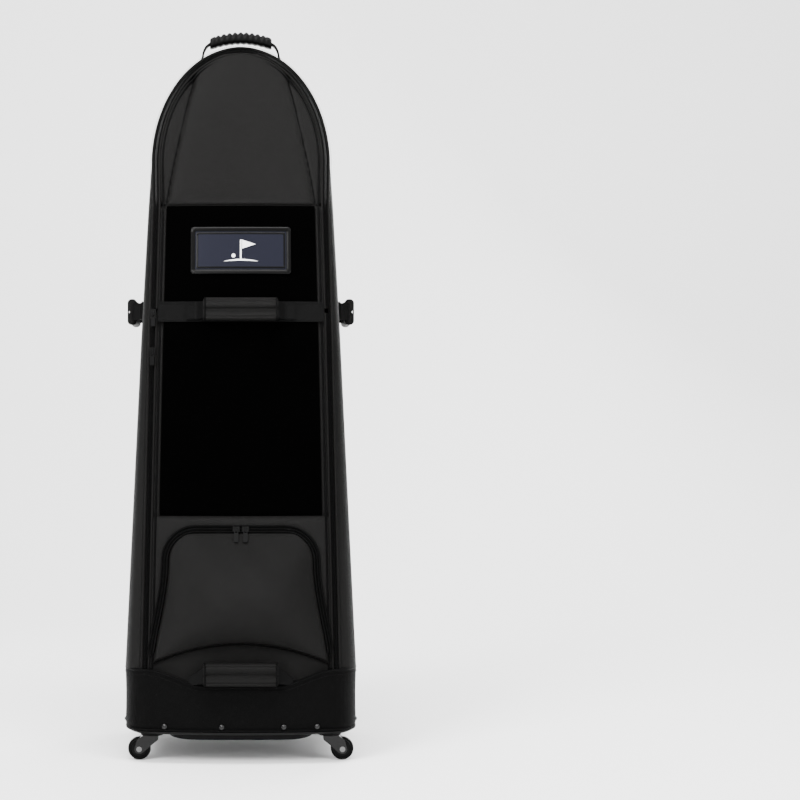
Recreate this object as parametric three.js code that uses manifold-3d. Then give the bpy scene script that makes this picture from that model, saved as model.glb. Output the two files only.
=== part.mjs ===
// Wheeled hard-base travel case for a golf bag, standing on its four casters.
// Millimetres, +Z up, front towards -Y.  Every sub-part is one closed solid.
import * as THREE from 'three';
import { mergeVertices } from 'three/addons/utils/BufferGeometryUtils.js';
import Module from 'manifold-3d';

const wasm = await Module();
wasm.setup();

// ---------- driving dimensions ----------
const BODY_TOP = 1290;
const DOME_BASE = 1060;
const DOME_HEIGHT = BODY_TOP - DOME_BASE;
const TOP_HALF = 162;
const FOOT_HALF = 202;
const SHELL_FOOT = 160;
const BACK_Y = 170;
const BACK_RADIUS = 40;
const WALL = 10;
const DOOR = 9;
const DOOR_CROWN = 12;
const GAP = 0.5;

// The zip line is the edge between the side gusset and the front.
const ZIP_INSET = 8;
const ZIP_FOOT_HALF = 166;
const ZIP_WAIST_HALF = 151;
const CHAIN_HALF = 3;
const CHAIN_DEPTH = 5;
const CHAIN_PROUD = 1.5;

// Front line in side view: it leans back at each of these heights.
const FRONT_LINE = [[57, -167], [134, -160], [735, -105], [975, -55], [BODY_TOP, 110]];
const FOLD_Z = 735;
const CURL_Z = 835;
const SEAM_Z = 975;
const PANEL_GAP = 2;

// Boot: the heavy fabric band around the foot, and the tray under it.
const BOOT_HALF = 203;
const BOOT_FRONT = -170;
const BOOT_BULGE = 10;
const BOOT_FOOT = 57;
const BOOT_FRONT_TOP = 134;
const BOOT_TOP = 161;
const TRAY_RIM = 50;
const FLOOR_Z = 58;

// Shoe pocket on the lower front.
const POCKET_FOOT = 190;
const POCKET_TOP = 399;
const POCKET_CORNER = 50;
const POCKET_HALF = 127;
const POCKET_FOOT_HALF = 150;
const POCKET_EDGE = 7;
const POCKET_BULGE = 35;
const POCKET_CLOTH = 4;
const POCKET_ZIP = 5.5;

// Casters.
const CASTER_X = 155;
const CASTER_Y = 125;
const TRAIL = 22;
const WHEEL_R = 20;
const WHEEL_HALF = 6.5;
const FORK_HALF = 12;
const FORK_TOP = 43.6;

// Handles.
const HANDLE_Z = 786;
const BAND_HANDLE_Z = 783;
const BAIL_Y = 138;
const BAIL_FOOT_Z = 1282;
const GRIP_Z = 1312;
const GRIP_SAG = 11;
const GRIP_HALF = 58;

// Sets the middle of the whole object's depth at y = 0.
const SHIFT_Y = 12.57;

// ---------- plain maths ----------
const clamp01 = (value) => Math.min(1, Math.max(0, value));
const smooth = (value) => clamp01(value) ** 2 * (3 - 2 * clamp01(value));
const mix = (a, b, t) => a + (b - a) * t;
const steps = (count, make) => Array.from({ length: count + 1 }, (_, i) => make(i / count));

function lineAt(table, at) {
  for (let i = 1; i < table.length; i++) {
    const [z0, v0] = table[i - 1];
    const [z1, v1] = table[i];
    if (at <= z1 || i === table.length - 1) {
      return mix(v0, v1, (at - z0) / (z1 - z0));
    }
  }
  return table[0][1];
}

const frontY = (z) => lineAt(FRONT_LINE, z);

function domeHalf(half, height, z) {
  const rise = (z - DOME_BASE) / height;
  return half * Math.sqrt(Math.max(0, 1 - rise * rise));
}

// Outer half-width of the case, and half-width of the zip line, at a height.
function outerHalf(z) {
  if (z > DOME_BASE) {
    return domeHalf(TOP_HALF, DOME_HEIGHT, z);
  }
  const low = clamp01((DOME_BASE - z) / (DOME_BASE - SHELL_FOOT));
  return mix(TOP_HALF, FOOT_HALF, low);
}

function zipHalf(z) {
  if (z > DOME_BASE) {
    return domeHalf(TOP_HALF - ZIP_INSET, DOME_HEIGHT - ZIP_INSET, z);
  }
  if (z > SEAM_Z) {
    return mix(ZIP_WAIST_HALF, TOP_HALF - ZIP_INSET, (z - SEAM_Z) / (DOME_BASE - SEAM_Z));
  }
  return mix(ZIP_FOOT_HALF, ZIP_WAIST_HALF, (z - BOOT_FRONT_TOP) / (SEAM_Z - BOOT_FRONT_TOP));
}

// Outer face of the front: a shallow crown across its width.
function doorY(x, z) {
  const half = Math.max(1, zipHalf(z));
  const across = clamp01(Math.abs(x) / half);
  return frontY(z) - DOOR_CROWN * (1 - across * across) * Math.min(1, half / 154);
}

const bootTopAt = (x) => mix(BOOT_FRONT_TOP, BOOT_TOP, smooth((Math.abs(x) - 60) / 105));

// ---------- closed solids ----------
function closedGeometry(points, faces) {
  let volume = 0;
  for (const [a, b, c] of faces) {
    const [ax, ay, az] = points[a];
    const [bx, by, bz] = points[b];
    const [cx, cy, cz] = points[c];
    volume += ax * (by * cz - bz * cy) + ay * (bz * cx - bx * cz) + az * (bx * cy - by * cx);
  }
  const turned = volume < 0 ? faces.map(([a, b, c]) => [a, c, b]) : faces;
  const geometry = new THREE.BufferGeometry();
  geometry.setAttribute('position', new THREE.Float32BufferAttribute(points.flat(), 3));
  geometry.setIndex(turned.flat());
  geometry.computeVertexNormals();
  return geometry;
}

// A solid between two grids of points.  With ring, the columns close on themselves.
function skinSolid(outer, inner, ring = false) {
  const rows = outer.length;
  const cols = outer[0].length;
  const faces = [];
  const at = (side, r, c) => (side * rows + r) * cols + (c % cols);
  const quad = (a, b, c, d) => faces.push([a, b, c], [a, c, d]);
  const last = rows - 1;
  const spans = ring ? cols : cols - 1;
  for (let r = 0; r < last; r++) {
    for (let c = 0; c < spans; c++) {
      quad(at(0, r, c), at(0, r, c + 1), at(0, r + 1, c + 1), at(0, r + 1, c));
      quad(at(1, r, c), at(1, r + 1, c), at(1, r + 1, c + 1), at(1, r, c + 1));
    }
    if (!ring) {
      quad(at(0, r, 0), at(0, r + 1, 0), at(1, r + 1, 0), at(1, r, 0));
      quad(at(1, r, spans), at(1, r + 1, spans), at(0, r + 1, spans), at(0, r, spans));
    }
  }
  for (let c = 0; c < spans; c++) {
    quad(at(1, 0, c), at(1, 0, c + 1), at(0, 0, c + 1), at(0, 0, c));
    quad(at(0, last, c), at(0, last, c + 1), at(1, last, c + 1), at(1, last, c));
  }
  return closedGeometry([...outer.flat(), ...inner.flat()], faces);
}

// A solid through convex loops of points, closed by a cap at each end.
function stackSolid(loops) {
  const size = loops[0].length;
  const points = loops.flat();
  const faces = [];
  for (let r = 0; r < loops.length - 1; r++) {
    for (let c = 0; c < size; c++) {
      const next = (c + 1) % size;
      faces.push([r * size + c, r * size + next, (r + 1) * size + next]);
      faces.push([r * size + c, (r + 1) * size + next, (r + 1) * size + c]);
    }
  }
  for (const end of [0, loops.length - 1]) {
    const middle = [0, 1, 2].map((k) => loops[end].reduce((sum, p) => sum + p[k], 0) / size);
    const centre = points.push(middle) - 1;
    for (let c = 0; c < size; c++) {
      const a = end * size + c;
      const b = end * size + ((c + 1) % size);
      faces.push(end === 0 ? [centre, b, a] : [centre, a, b]);
    }
  }
  return closedGeometry(points, faces);
}

// Round solids: [radius, height] pairs along the local Y axis.
const circle = (radius, height, segments) => Array.from({ length: segments }, (_, i) => {
  const turn = (2 * Math.PI * i) / segments;
  return [radius * Math.cos(turn), height, radius * Math.sin(turn)];
});
const roundStack = (profile, segments) => stackSolid(profile.map(([r, h]) => circle(r, h, segments)));

function roundRing(innerRadius, outerProfile, segments) {
  const outer = outerProfile.map(([r, h]) => circle(r, h, segments));
  const inner = outerProfile.map(([, h]) => circle(innerRadius, h, segments));
  return skinSolid(outer, inner, true);
}

function toManifold(geometry) {
  const plain = geometry.clone();
  plain.deleteAttribute('normal');
  plain.deleteAttribute('uv');
  const merged = mergeVertices(plain);
  const vertProperties = new Float32Array(merged.attributes.position.array);
  const triVerts = new Uint32Array(merged.index.array);
  return new wasm.Manifold(new wasm.Mesh({ numProp: 3, vertProperties, triVerts }));
}

function fromManifold(solid) {
  const mesh = solid.getMesh();
  const geometry = new THREE.BufferGeometry();
  geometry.setAttribute('position', new THREE.BufferAttribute(mesh.vertProperties, 3));
  geometry.setIndex(new THREE.BufferAttribute(mesh.triVerts, 1));
  geometry.computeVertexNormals();
  return geometry;
}

function block(x, y, z) {
  const geometry = new THREE.BoxGeometry(x[1] - x[0], y[1] - y[0], z[1] - z[0]);
  return geometry.translate((x[0] + x[1]) / 2, (y[0] + y[1]) / 2, (z[0] + z[1]) / 2);
}

// A rounded rectangle as [across, up] pairs, three points to a corner.
function roundedSection(width, height, radius) {
  const corners = [[1, 1, 0], [-1, 1, 90], [-1, -1, 180], [1, -1, 270]];
  return corners.flatMap(([sx, sy, from]) => [0, 45, 90].map((turn) => {
    const angle = ((from + turn) * Math.PI) / 180;
    const x = sx * (width / 2 - radius) + radius * Math.cos(angle);
    const y = sy * (height / 2 - radius) + radius * Math.sin(angle);
    return [x, y];
  }));
}

// ---------- materials ----------
const finish = (color, roughness, metalness = 0) => (
  new THREE.MeshStandardMaterial({ color, roughness, metalness })
);
const shellCloth = finish(0x2e2b2a, 0.85);
const bootCloth = finish(0x171717, 0.8);
const loopCloth = finish(0x060606, 1);
const liningCloth = finish(0x4a4a4c, 0.55);
const pocketNylon = finish(0x101011, 0.35);
const webbing = finish(0x2a2a2b, 0.75);
const zipCloth = finish(0x111111, 0.6);
const zipMetal = finish(0x1d1d1f, 0.35, 0.6);
const trayPlastic = finish(0x232323, 0.6);
const casterPlastic = finish(0x0d0d0e, 0.35);
const tyre = finish(0x141414, 0.5);
const steel = finish(0xb5b5b8, 0.3, 1);
const rubber = finish(0x18181a, 0.6);
const windowPlastic = finish(0x2b2c30, 0.35);
const windowCard = finish(0x3c3e4b, 0.45);

const group = new THREE.Group();
group.position.y = SHIFT_Y;

function add(name, geometry, material, parent = group) {
  const mesh = new THREE.Mesh(geometry, material.clone());
  mesh.name = name;
  parent.add(mesh);
  return mesh;
}

function place(x, y, z) {
  const holder = new THREE.Group();
  holder.position.set(x, y, z);
  group.add(holder);
  return holder;
}

// ---------- side and crown gussets ----------
const ARC_STEPS = 3;
const STRAIGHT = [0.15, 0.5, 0.85];

// The gusset's section: distance in from the silhouette, and y, from zip line to back.
function gussetSection(zipInset, zipY) {
  const edge = zipInset - CHAIN_HALF - 1;
  const depth = 0.9 * zipInset + 4;
  const shoulder = zipY + depth;
  const backStart = BACK_Y - BACK_RADIUS;
  const thin = Math.min(WALL, 0.6 * edge);
  const arc = (thickness) => steps(ARC_STEPS, (t) => {
    const turn = (t * Math.PI) / 2;
    const inset = edge - (edge - thickness) * Math.sin(turn);
    return [inset, shoulder - (depth - thickness) * Math.cos(turn)];
  });
  const side = (inset) => STRAIGHT.map((t) => [inset, mix(shoulder, backStart, t)]);
  const corner = (thickness) => steps(ARC_STEPS, (t) => {
    const turn = (t * Math.PI) / 2;
    const radius = BACK_RADIUS - thickness;
    return [BACK_RADIUS - radius * Math.cos(turn), backStart + radius * Math.sin(turn)];
  });
  return {
    outer: [...arc(0), ...side(0), ...corner(0)],
    inner: [...arc(thin), ...side(WALL), ...corner(WALL)],
  };
}

// Rows are silhouette points [x, z, normal x, normal z].
function gussetSolid(rows) {
  const grids = { outer: [], inner: [] };
  for (const [x, z, nx, nz] of rows) {
    const inset = nz === 0 ? Math.abs(x) - zipHalf(z) : ZIP_INSET;
    const section = gussetSection(inset, frontY(z - nz * inset));
    for (const side of ['outer', 'inner']) {
      grids[side].push(section[side].map(([d, y]) => [x - nx * d, y, z - nz * d]));
    }
  }
  return skinSolid(grids.outer, grids.inner);
}

const SIDE_ROWS = [BOOT_TOP + GAP, 300, 450, 600, FOLD_Z, 860, SEAM_Z, DOME_BASE - GAP];
for (const [name, sign] of [['left_side_panel', -1], ['right_side_panel', 1]]) {
  add(name, gussetSolid(SIDE_ROWS.map((z) => [sign * outerHalf(z), z, sign, 0])), shellCloth);
}

function ellipseRow(halfWidth, height, angle) {
  const x = halfWidth * Math.cos(angle);
  const z = DOME_BASE + height * Math.sin(angle);
  const normal = new THREE.Vector2(Math.cos(angle) / halfWidth, Math.sin(angle) / height).normalize();
  return [x, z, normal.x, normal.y];
}
const CROWN_STEPS = 18;
const CROWN_START = GAP / DOME_HEIGHT;
const crownAngles = steps(CROWN_STEPS, (t) => mix(CROWN_START, Math.PI - CROWN_START, t));
const crownRows = crownAngles.map((angle) => ellipseRow(TOP_HALF, DOME_HEIGHT, angle));
add('crown_gusset', gussetSolid(crownRows), shellCloth);

// ---------- back panel ----------
function backPanel() {
  const inset = BACK_RADIUS + 1;
  const sides = [BOOT_TOP + GAP, DOME_BASE];
  const right = sides.map((z) => [outerHalf(z) - inset, z]);
  const top = crownRows.map(([x, z, nx, nz]) => [x - nx * inset, z - nz * inset]);
  const left = right.map(([x, z]) => [-x, z]).reverse();
  const outline = [...right, ...top, ...left];
  return stackSolid([BACK_Y, BACK_Y - WALL].map((y) => outline.map(([x, z]) => [x, y, z])));
}
add('back_panel', backPanel(), shellCloth);

// ---------- front panels ----------
// A slab that follows the front between two heights, from near to far behind its face.
function frontSlab({ margin, low, heights, near, far, across = 8 }) {
  const face = (depth) => heights.map((t) => steps(across, (u) => {
    const side = 2 * u - 1;
    const foot = low(side * (ZIP_FOOT_HALF - margin));
    const z = mix(foot, heights.top, t);
    const x = side * (zipHalf(z) - margin);
    return [x, doorY(x, z) + depth, z];
  }));
  return skinSolid(face(near), face(far));
}
const evenHeights = (count, top) => Object.assign(steps(count, (t) => t), { top });
const DOOR_MARGIN = 6;

add('lower_front_panel', frontSlab({
  margin: DOOR_MARGIN,
  low: (x) => bootTopAt(x) + 3,
  heights: evenHeights(5, FOLD_Z - PANEL_GAP),
  near: 0,
  far: DOOR,
}), shellCloth);
add('fold_band_panel', frontSlab({
  margin: DOOR_MARGIN,
  low: () => FOLD_Z + PANEL_GAP,
  heights: evenHeights(1, CURL_Z - PANEL_GAP),
  near: 0,
  far: DOOR,
}), loopCloth);
add('flap_lower_panel', frontSlab({
  margin: DOOR_MARGIN,
  low: () => CURL_Z + PANEL_GAP,
  heights: evenHeights(1, SEAM_Z - PANEL_GAP),
  near: 0,
  far: DOOR,
}), loopCloth);

// The dome panel narrows to a short top edge.
function domePanel(margin, low, near, far) {
  const height = DOME_HEIGHT - ZIP_INSET - margin;
  const half = TOP_HALF - ZIP_INSET - margin;
  const topAngle = 1.43;
  const straight = [low, mix(low, DOME_BASE, 0.5)].map((z) => [zipHalf(z) - margin, z]);
  const curved = steps(8, (t) => {
    const angle = t * topAngle;
    return [half * Math.cos(angle), DOME_BASE + height * Math.sin(angle)];
  });
  const face = (depth) => [...straight, ...curved].map(([width, z]) => steps(8, (u) => {
    const x = (2 * u - 1) * width;
    return [x, doorY(x, z) + depth, z];
  }));
  return skinSolid(face(near), face(far));
}
add('flap_dome_panel', domePanel(DOOR_MARGIN, SEAM_Z + PANEL_GAP, 0, DOOR), shellCloth);
const INNER_POCKET_LOW = 985;
const INNER_POCKET_MARGIN = 26;
add('flap_inner_pocket', domePanel(INNER_POCKET_MARGIN, INNER_POCKET_LOW, DOOR + 1, DOOR + 7), pocketNylon);

// ---------- zip chains ----------
// Loops of a four-sided strip; rows are [x, z, normal x, normal z] along its middle line.
function stripSolid(rows, half, nearY, farY) {
  return stackSolid(rows.map(([x, z, nx, nz]) => {
    const inside = [x - nx * half, z - nz * half];
    const outside = [x + nx * half, z + nz * half];
    return [
      [inside[0], nearY(x, z), inside[1]],
      [outside[0], nearY(x, z), outside[1]],
      [outside[0], farY(x, z), outside[1]],
      [inside[0], farY(x, z), inside[1]],
    ];
  }));
}
const chainNear = (x, z) => frontY(z) - CHAIN_PROUD;
const chainFar = (x, z) => frontY(z) - CHAIN_PROUD + CHAIN_DEPTH;
const CHAIN_ROWS = [BOOT_TOP + 2, FOLD_Z, SEAM_Z, DOME_BASE - GAP];
for (const [name, sign] of [['main_zip_chain_left', -1], ['main_zip_chain_right', 1]]) {
  const rows = CHAIN_ROWS.map((z) => [sign * zipHalf(z), z, sign, 0]);
  add(name, stripSolid(rows, CHAIN_HALF, chainNear, chainFar), zipCloth);
}
const upperChainRows = crownAngles.map((angle) => (
  ellipseRow(TOP_HALF - ZIP_INSET, DOME_HEIGHT - ZIP_INSET, angle)
));
add('main_zip_chain_upper', stripSolid(upperChainRows, CHAIN_HALF, chainNear, chainFar), zipCloth);

// ---------- boot, tray and floor ----------
const FRONT_STEPS = 8;
const CORNER_STEPS = 4;

// One loop round the foot of the case, counter-clockwise from the front left.
function footLoop({ half, front, back, frontRadius, backRadius, bulge }, heightAt) {
  const edge = half - frontRadius;
  const points = steps(FRONT_STEPS, (t) => {
    const x = mix(-edge, edge, t);
    return [x, front - bulge * (1 - (x / edge) ** 2)];
  });
  const corner = (cx, cy, radius, from, first, last) => {
    for (let i = first; i <= last; i++) {
      const turn = from + (i / CORNER_STEPS) * (Math.PI / 2);
      points.push([cx + radius * Math.cos(turn), cy + radius * Math.sin(turn)]);
    }
  };
  corner(edge, front + frontRadius, frontRadius, -Math.PI / 2, 1, CORNER_STEPS);
  corner(half - backRadius, back - backRadius, backRadius, 0, 0, CORNER_STEPS);
  corner(-(half - backRadius), back - backRadius, backRadius, Math.PI / 2, 0, CORNER_STEPS);
  corner(-edge, front + frontRadius, frontRadius, Math.PI, 0, CORNER_STEPS - 1);
  return points.map(([x, y]) => [x, y, heightAt(x, y)]);
}

function bootLoop(inset, heightAt) {
  return footLoop({
    half: BOOT_HALF - inset,
    front: BOOT_FRONT + inset,
    back: BACK_Y - inset,
    frontRadius: 55 - inset,
    backRadius: 50 - inset,
    bulge: BOOT_BULGE,
  }, heightAt);
}
const level = (z) => () => z;
const bootRim = (x, y) => (y < 0 ? bootTopAt(x) : BOOT_TOP);
const SHOULDER_Z = BOOT_FOOT + 8;
add('boot_band', skinSolid(
  [bootLoop(3, level(BOOT_FOOT)), bootLoop(0, level(SHOULDER_Z)), bootLoop(0, bootRim)],
  [bootLoop(WALL, level(BOOT_FOOT)), bootLoop(WALL, level(SHOULDER_Z)), bootLoop(WALL, bootRim)],
  true,
), bootCloth);

const bellyLoop = (half, depth, radius, z) => footLoop({
  half,
  front: -depth,
  back: depth,
  frontRadius: radius,
  backRadius: radius,
  bulge: 2,
}, level(z));
add('base_tray', stackSolid([
  bellyLoop(125, 140, 50, 36),
  bellyLoop(141, 150, 60, TRAY_RIM),
  bootLoop(12, level(TRAY_RIM)),
  bootLoop(1, level(BOOT_FOOT - GAP)),
  bootLoop(WALL + 0.6, level(BOOT_FOOT - GAP)),
  bootLoop(WALL + 0.6, level(85)),
  bootLoop(WALL + 4, level(85)),
  bootLoop(WALL + 4, level(FLOOR_Z)),
]), trayPlastic);
add('floor_pad', stackSolid([
  bootLoop(WALL + 5, level(FLOOR_Z + GAP)),
  bootLoop(WALL + 5, level(FLOOR_Z + 8)),
]), liningCloth);

// ---------- casters ----------
const SOCKET_FOOT = 44;
const STEM_R = 6;

function forkSolid() {
  const outline = new THREE.Shape();
  outline.moveTo(-11, FORK_TOP);
  outline.lineTo(-11, 36);
  outline.lineTo(-2, 29);
  outline.lineTo(15, 14);
  outline.absarc(TRAIL, WHEEL_R, 8.5, (-130 * Math.PI) / 180, 0, false);
  outline.lineTo(26, 36);
  outline.lineTo(16, FORK_TOP);
  const cheeks = new THREE.ExtrudeGeometry(outline, {
    depth: 2 * FORK_HALF,
    bevelEnabled: false,
    curveSegments: 6,
  }).rotateX(Math.PI / 2).translate(0, FORK_HALF, 0);
  const slot = new THREE.CylinderGeometry(WHEEL_R + 1.5, WHEEL_R + 1.5, 2 * WHEEL_HALF + 1.5, 24);
  const bore = new THREE.CylinderGeometry(3, 3, 3 * FORK_HALF, 12);
  const stem = new THREE.CylinderGeometry(STEM_R, STEM_R, 8, 16).rotateX(Math.PI / 2);
  return fromManifold(
    toManifold(cheeks)
      .subtract(toManifold(slot.translate(TRAIL, 0, WHEEL_R)))
      .subtract(toManifold(bore.translate(TRAIL, 0, WHEEL_R)))
      .add(toManifold(stem.translate(0, 0, 45.4))),
  );
}

const fork = forkSolid();
const socket = roundRing(STEM_R + 0.4, [[20, 0], [20, 5.7]], 24).rotateX(Math.PI / 2);
const wheel = roundRing(2.9, [[18.5, -6.5], [20, -5], [20, 5], [18.5, 6.5]], 20);
const axle = roundStack([[5, -13.8], [5, -12.3], [2.6, -12.3], [2.6, 12.3], [5, 12.3], [5, 13.8]], 10);
const CASTERS = [['front_left', -1, -1], ['front_right', 1, -1], ['rear_left', -1, 1], ['rear_right', 1, 1]];
for (const [where, sideX, sideY] of CASTERS) {
  const caster = place(sideX * CASTER_X, sideY * CASTER_Y, 0);
  caster.rotation.z = sideX < 0 ? Math.PI : 0;
  add(`caster_socket_${where}`, socket, trayPlastic, caster).position.z = SOCKET_FOOT;
  add(`caster_fork_${where}`, fork, casterPlastic, caster);
  add(`caster_wheel_${where}`, wheel, tyre, caster).position.set(TRAIL, 0, WHEEL_R);
  add(`caster_axle_${where}`, axle, steel, caster).position.set(TRAIL, 0, WHEEL_R);
}

// ---------- webbing handles ----------
// Along local X, outward local -Y, the strap's width along local Z.
function handleParts({ wrapHalf, footHalf, strap, wrap, thick, lift, footLift }) {
  const ramp = [[footHalf, footLift], [footHalf - 12, footLift], [wrapHalf + 4, lift - 1], [wrapHalf - 4, lift]];
  const line = [...ramp.map(([x, y]) => [-x, y]), ...ramp.reverse()];
  const strapLoops = line.map(([x, y]) => [
    [x, -y - 1.25, -strap / 2], [x, -y - 1.25, strap / 2],
    [x, -y + 1.25, strap / 2], [x, -y + 1.25, -strap / 2],
  ]);
  const section = (width, height, radius, x) => (
    roundedSection(width, height, radius).map(([z, y]) => [x, y - lift, z])
  );
  const ends = [-wrapHalf, -wrapHalf + 5, wrapHalf - 5, wrapHalf];
  const outer = ends.map((x) => {
    const taper = Math.abs(x) === wrapHalf ? 3 : 0;
    return section(wrap - taper, thick - taper, 5, x);
  });
  const inner = ends.map((x) => section(strap + 2, 4.5, 1.5, x));
  return { strap: stackSolid(strapLoops), wrap: skinSolid(outer, inner, true) };
}

function addHandle(name, size, holder) {
  const parts = handleParts(size);
  add(`${name}_strap`, parts.strap, webbing, holder);
  add(`${name}_wrap`, parts.wrap, webbing, holder);
}

// Mid handle, on a webbing band across the fold band.
const BAND_LEAN = -Math.atan2(frontY(SEAM_Z) - frontY(FOLD_Z), SEAM_Z - FOLD_Z);
add('handle_webbing', frontSlab({
  margin: DOOR_MARGIN + 2,
  low: () => BAND_HANDLE_Z - 18,
  heights: evenHeights(1, BAND_HANDLE_Z + 18),
  near: -GAP - 2,
  far: -GAP,
}), webbing);
const midHandle = place(0, doorY(0, BAND_HANDLE_Z), BAND_HANDLE_Z);
midHandle.rotation.x = BAND_LEAN;
addHandle('mid_handle', {
  wrapHalf: 66, footHalf: 94, strap: 30, wrap: 41, thick: 14, lift: 19.5, footLift: 6.5,
}, midHandle);

// Side handles.
const SIDE_HANDLE_Y = 43;
for (const [name, sign] of [['left_handle', -1], ['right_handle', 1]]) {
  const holder = place(sign * outerHalf(HANDLE_Z), SIDE_HANDLE_Y, HANDLE_Z);
  holder.rotation.z = (sign * Math.PI) / 2;
  addHandle(name, {
    wrapHalf: 65, footHalf: 95, strap: 30, wrap: 45, thick: 15, lift: 22.5, footLift: 10.5,
  }, holder);
  add(`${name}_base`, block([-103, 103], [-3.2, -1.2], [-17, 17]), webbing, holder);
}

// Bottom grab handle, in front of the boot's upper edge.
const BOTTOM_HANDLE = { y: -183, z: 157 };
addHandle('bottom_handle', {
  wrapHalf: 65, footHalf: 84, strap: 26, wrap: 40, thick: 13, lift: 2, footLift: 0,
}, place(0, BOTTOM_HANDLE.y, BOTTOM_HANDLE.z));

// ---------- top handle ----------
const gripLine = (x) => GRIP_Z - GRIP_SAG * (x / GRIP_HALF) ** 2;
const BAIL_HALF = 10;
const BAIL_THICK = 3;

function bailSolid() {
  const leg = [[-72, BAIL_FOOT_Z], [-70.5, 1291], [-64, 1298.5]];
  const arch = steps(6, (t) => mix(-GRIP_HALF, GRIP_HALF, t)).map((x) => [x, gripLine(x)]);
  const line = [...leg, ...arch, ...leg.map(([x, z]) => [-x, z]).reverse()];
  return stackSolid(line.map(([x, z], i) => {
    const before = line[Math.max(0, i - 1)];
    const after = line[Math.min(line.length - 1, i + 1)];
    const along = new THREE.Vector2(after[0] - before[0], after[1] - before[1]).normalize();
    const nx = (-along.y * BAIL_THICK) / 2;
    const nz = (along.x * BAIL_THICK) / 2;
    return [
      [x - nx, -BAIL_HALF, z - nz], [x + nx, -BAIL_HALF, z + nz],
      [x + nx, BAIL_HALF, z + nz], [x - nx, BAIL_HALF, z - nz],
    ];
  }));
}

function gripSolid() {
  const stations = [-56, -50, -25, 0, 25, 50, 56];
  const section = (width, height, radius, x) => (
    roundedSection(width, height, radius).map(([y, z]) => [x, y, gripLine(x) + z])
  );
  const outer = stations.map((x) => {
    const taper = Math.abs(x) === 56 ? 5 : 0;
    return section(27 - taper, 22 - taper, 7, x);
  });
  const inner = stations.map((x) => section(2 * BAIL_HALF + 1.2, BAIL_THICK + 2.4, 1, x));
  return skinSolid(outer, inner, true);
}
const topHandle = place(0, BAIL_Y, 0);
add('top_handle_bail', bailSolid(), webbing, topHandle);
add('top_handle_grip', gripSolid(), rubber, topHandle);
for (const [name, sign] of [['top_handle_anchor_left', -1], ['top_handle_anchor_right', 1]]) {
  const x = 68;
  const z = DOME_BASE + DOME_HEIGHT * Math.sqrt(1 - (x / TOP_HALF) ** 2);
  const slope = Math.atan((DOME_HEIGHT ** 2 * x) / (TOP_HALF ** 2 * (z - DOME_BASE)));
  const holder = place(sign * x, BAIL_Y, z);
  holder.rotation.y = sign * slope;
  add(name, block([-9, 9], [-12, 12], [0.6, 4.6]), webbing, holder);
}

// ---------- name window on the flap ----------
const WINDOW = { half: 89, low: 850, high: 935, border: 8 };

function windowLoop(inset, depth) {
  const half = WINDOW.half - inset;
  const low = WINDOW.low + inset;
  const high = WINDOW.high - inset;
  const bottom = steps(6, (t) => [mix(-half, half, t), low]);
  const right = [[half, (low + high) / 2]];
  const top = steps(6, (t) => [mix(half, -half, t), high]);
  const left = [[-half, (low + high) / 2]];
  return [...bottom, ...right, ...top, ...left].map(([x, z]) => [x, doorY(x, z) + depth, z]);
}
add('id_window_frame', skinSolid(
  [windowLoop(0, -GAP - 3), windowLoop(WINDOW.border, -GAP - 3)],
  [windowLoop(0, -GAP), windowLoop(WINDOW.border, -GAP)],
  true,
), windowPlastic);

function windowCardSolid() {
  const half = WINDOW.half - WINDOW.border - 1;
  const rows = [WINDOW.low + WINDOW.border + 1, WINDOW.high - WINDOW.border - 1];
  const face = (depth) => rows.map((z) => steps(6, (t) => {
    const x = mix(-half, half, t);
    return [x, doorY(x, z) + depth, z];
  }));
  return skinSolid(face(-GAP - 1.6), face(-GAP));
}
add('id_window_insert', windowCardSolid(), windowCard);

// ---------- shoe pocket ----------
function pocketHalf(z) {
  const cornerZ = POCKET_TOP - POCKET_CORNER;
  if (z <= cornerZ) {
    return mix(POCKET_FOOT_HALF, POCKET_HALF, (z - POCKET_FOOT) / (cornerZ - POCKET_FOOT));
  }
  const rise = Math.min(1, (z - cornerZ) / POCKET_CORNER);
  return POCKET_HALF - POCKET_CORNER + POCKET_CORNER * Math.sqrt(1 - rise * rise);
}

// How far the pocket stands off the front: full low down, shallow at its top.
function pocketStand(u, z) {
  const up = (z - POCKET_FOOT) / (POCKET_TOP - POCKET_FOOT);
  const swell = Math.sin(Math.PI * up ** 0.72) ** 0.8;
  return POCKET_EDGE + (POCKET_BULGE - POCKET_EDGE) * swell * (1 - Math.abs(u) ** 3);
}

const cornerHeights = [30, 60, 90].map((turn) => (
  POCKET_TOP - POCKET_CORNER * (1 - Math.sin((turn * Math.PI) / 180))
));
const POCKET_ROWS = [POCKET_FOOT, 206, 228, 262, 305, POCKET_TOP - POCKET_CORNER, ...cornerHeights];
const pocketFace = (depth) => POCKET_ROWS.map((z) => steps(8, (t) => {
  const u = 2 * t - 1;
  const x = u * pocketHalf(z);
  return [x, doorY(x, z) - pocketStand(u, z) + depth, z];
}));
add('pocket_cover', skinSolid(pocketFace(0), pocketFace(POCKET_CLOTH)), shellCloth);

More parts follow.
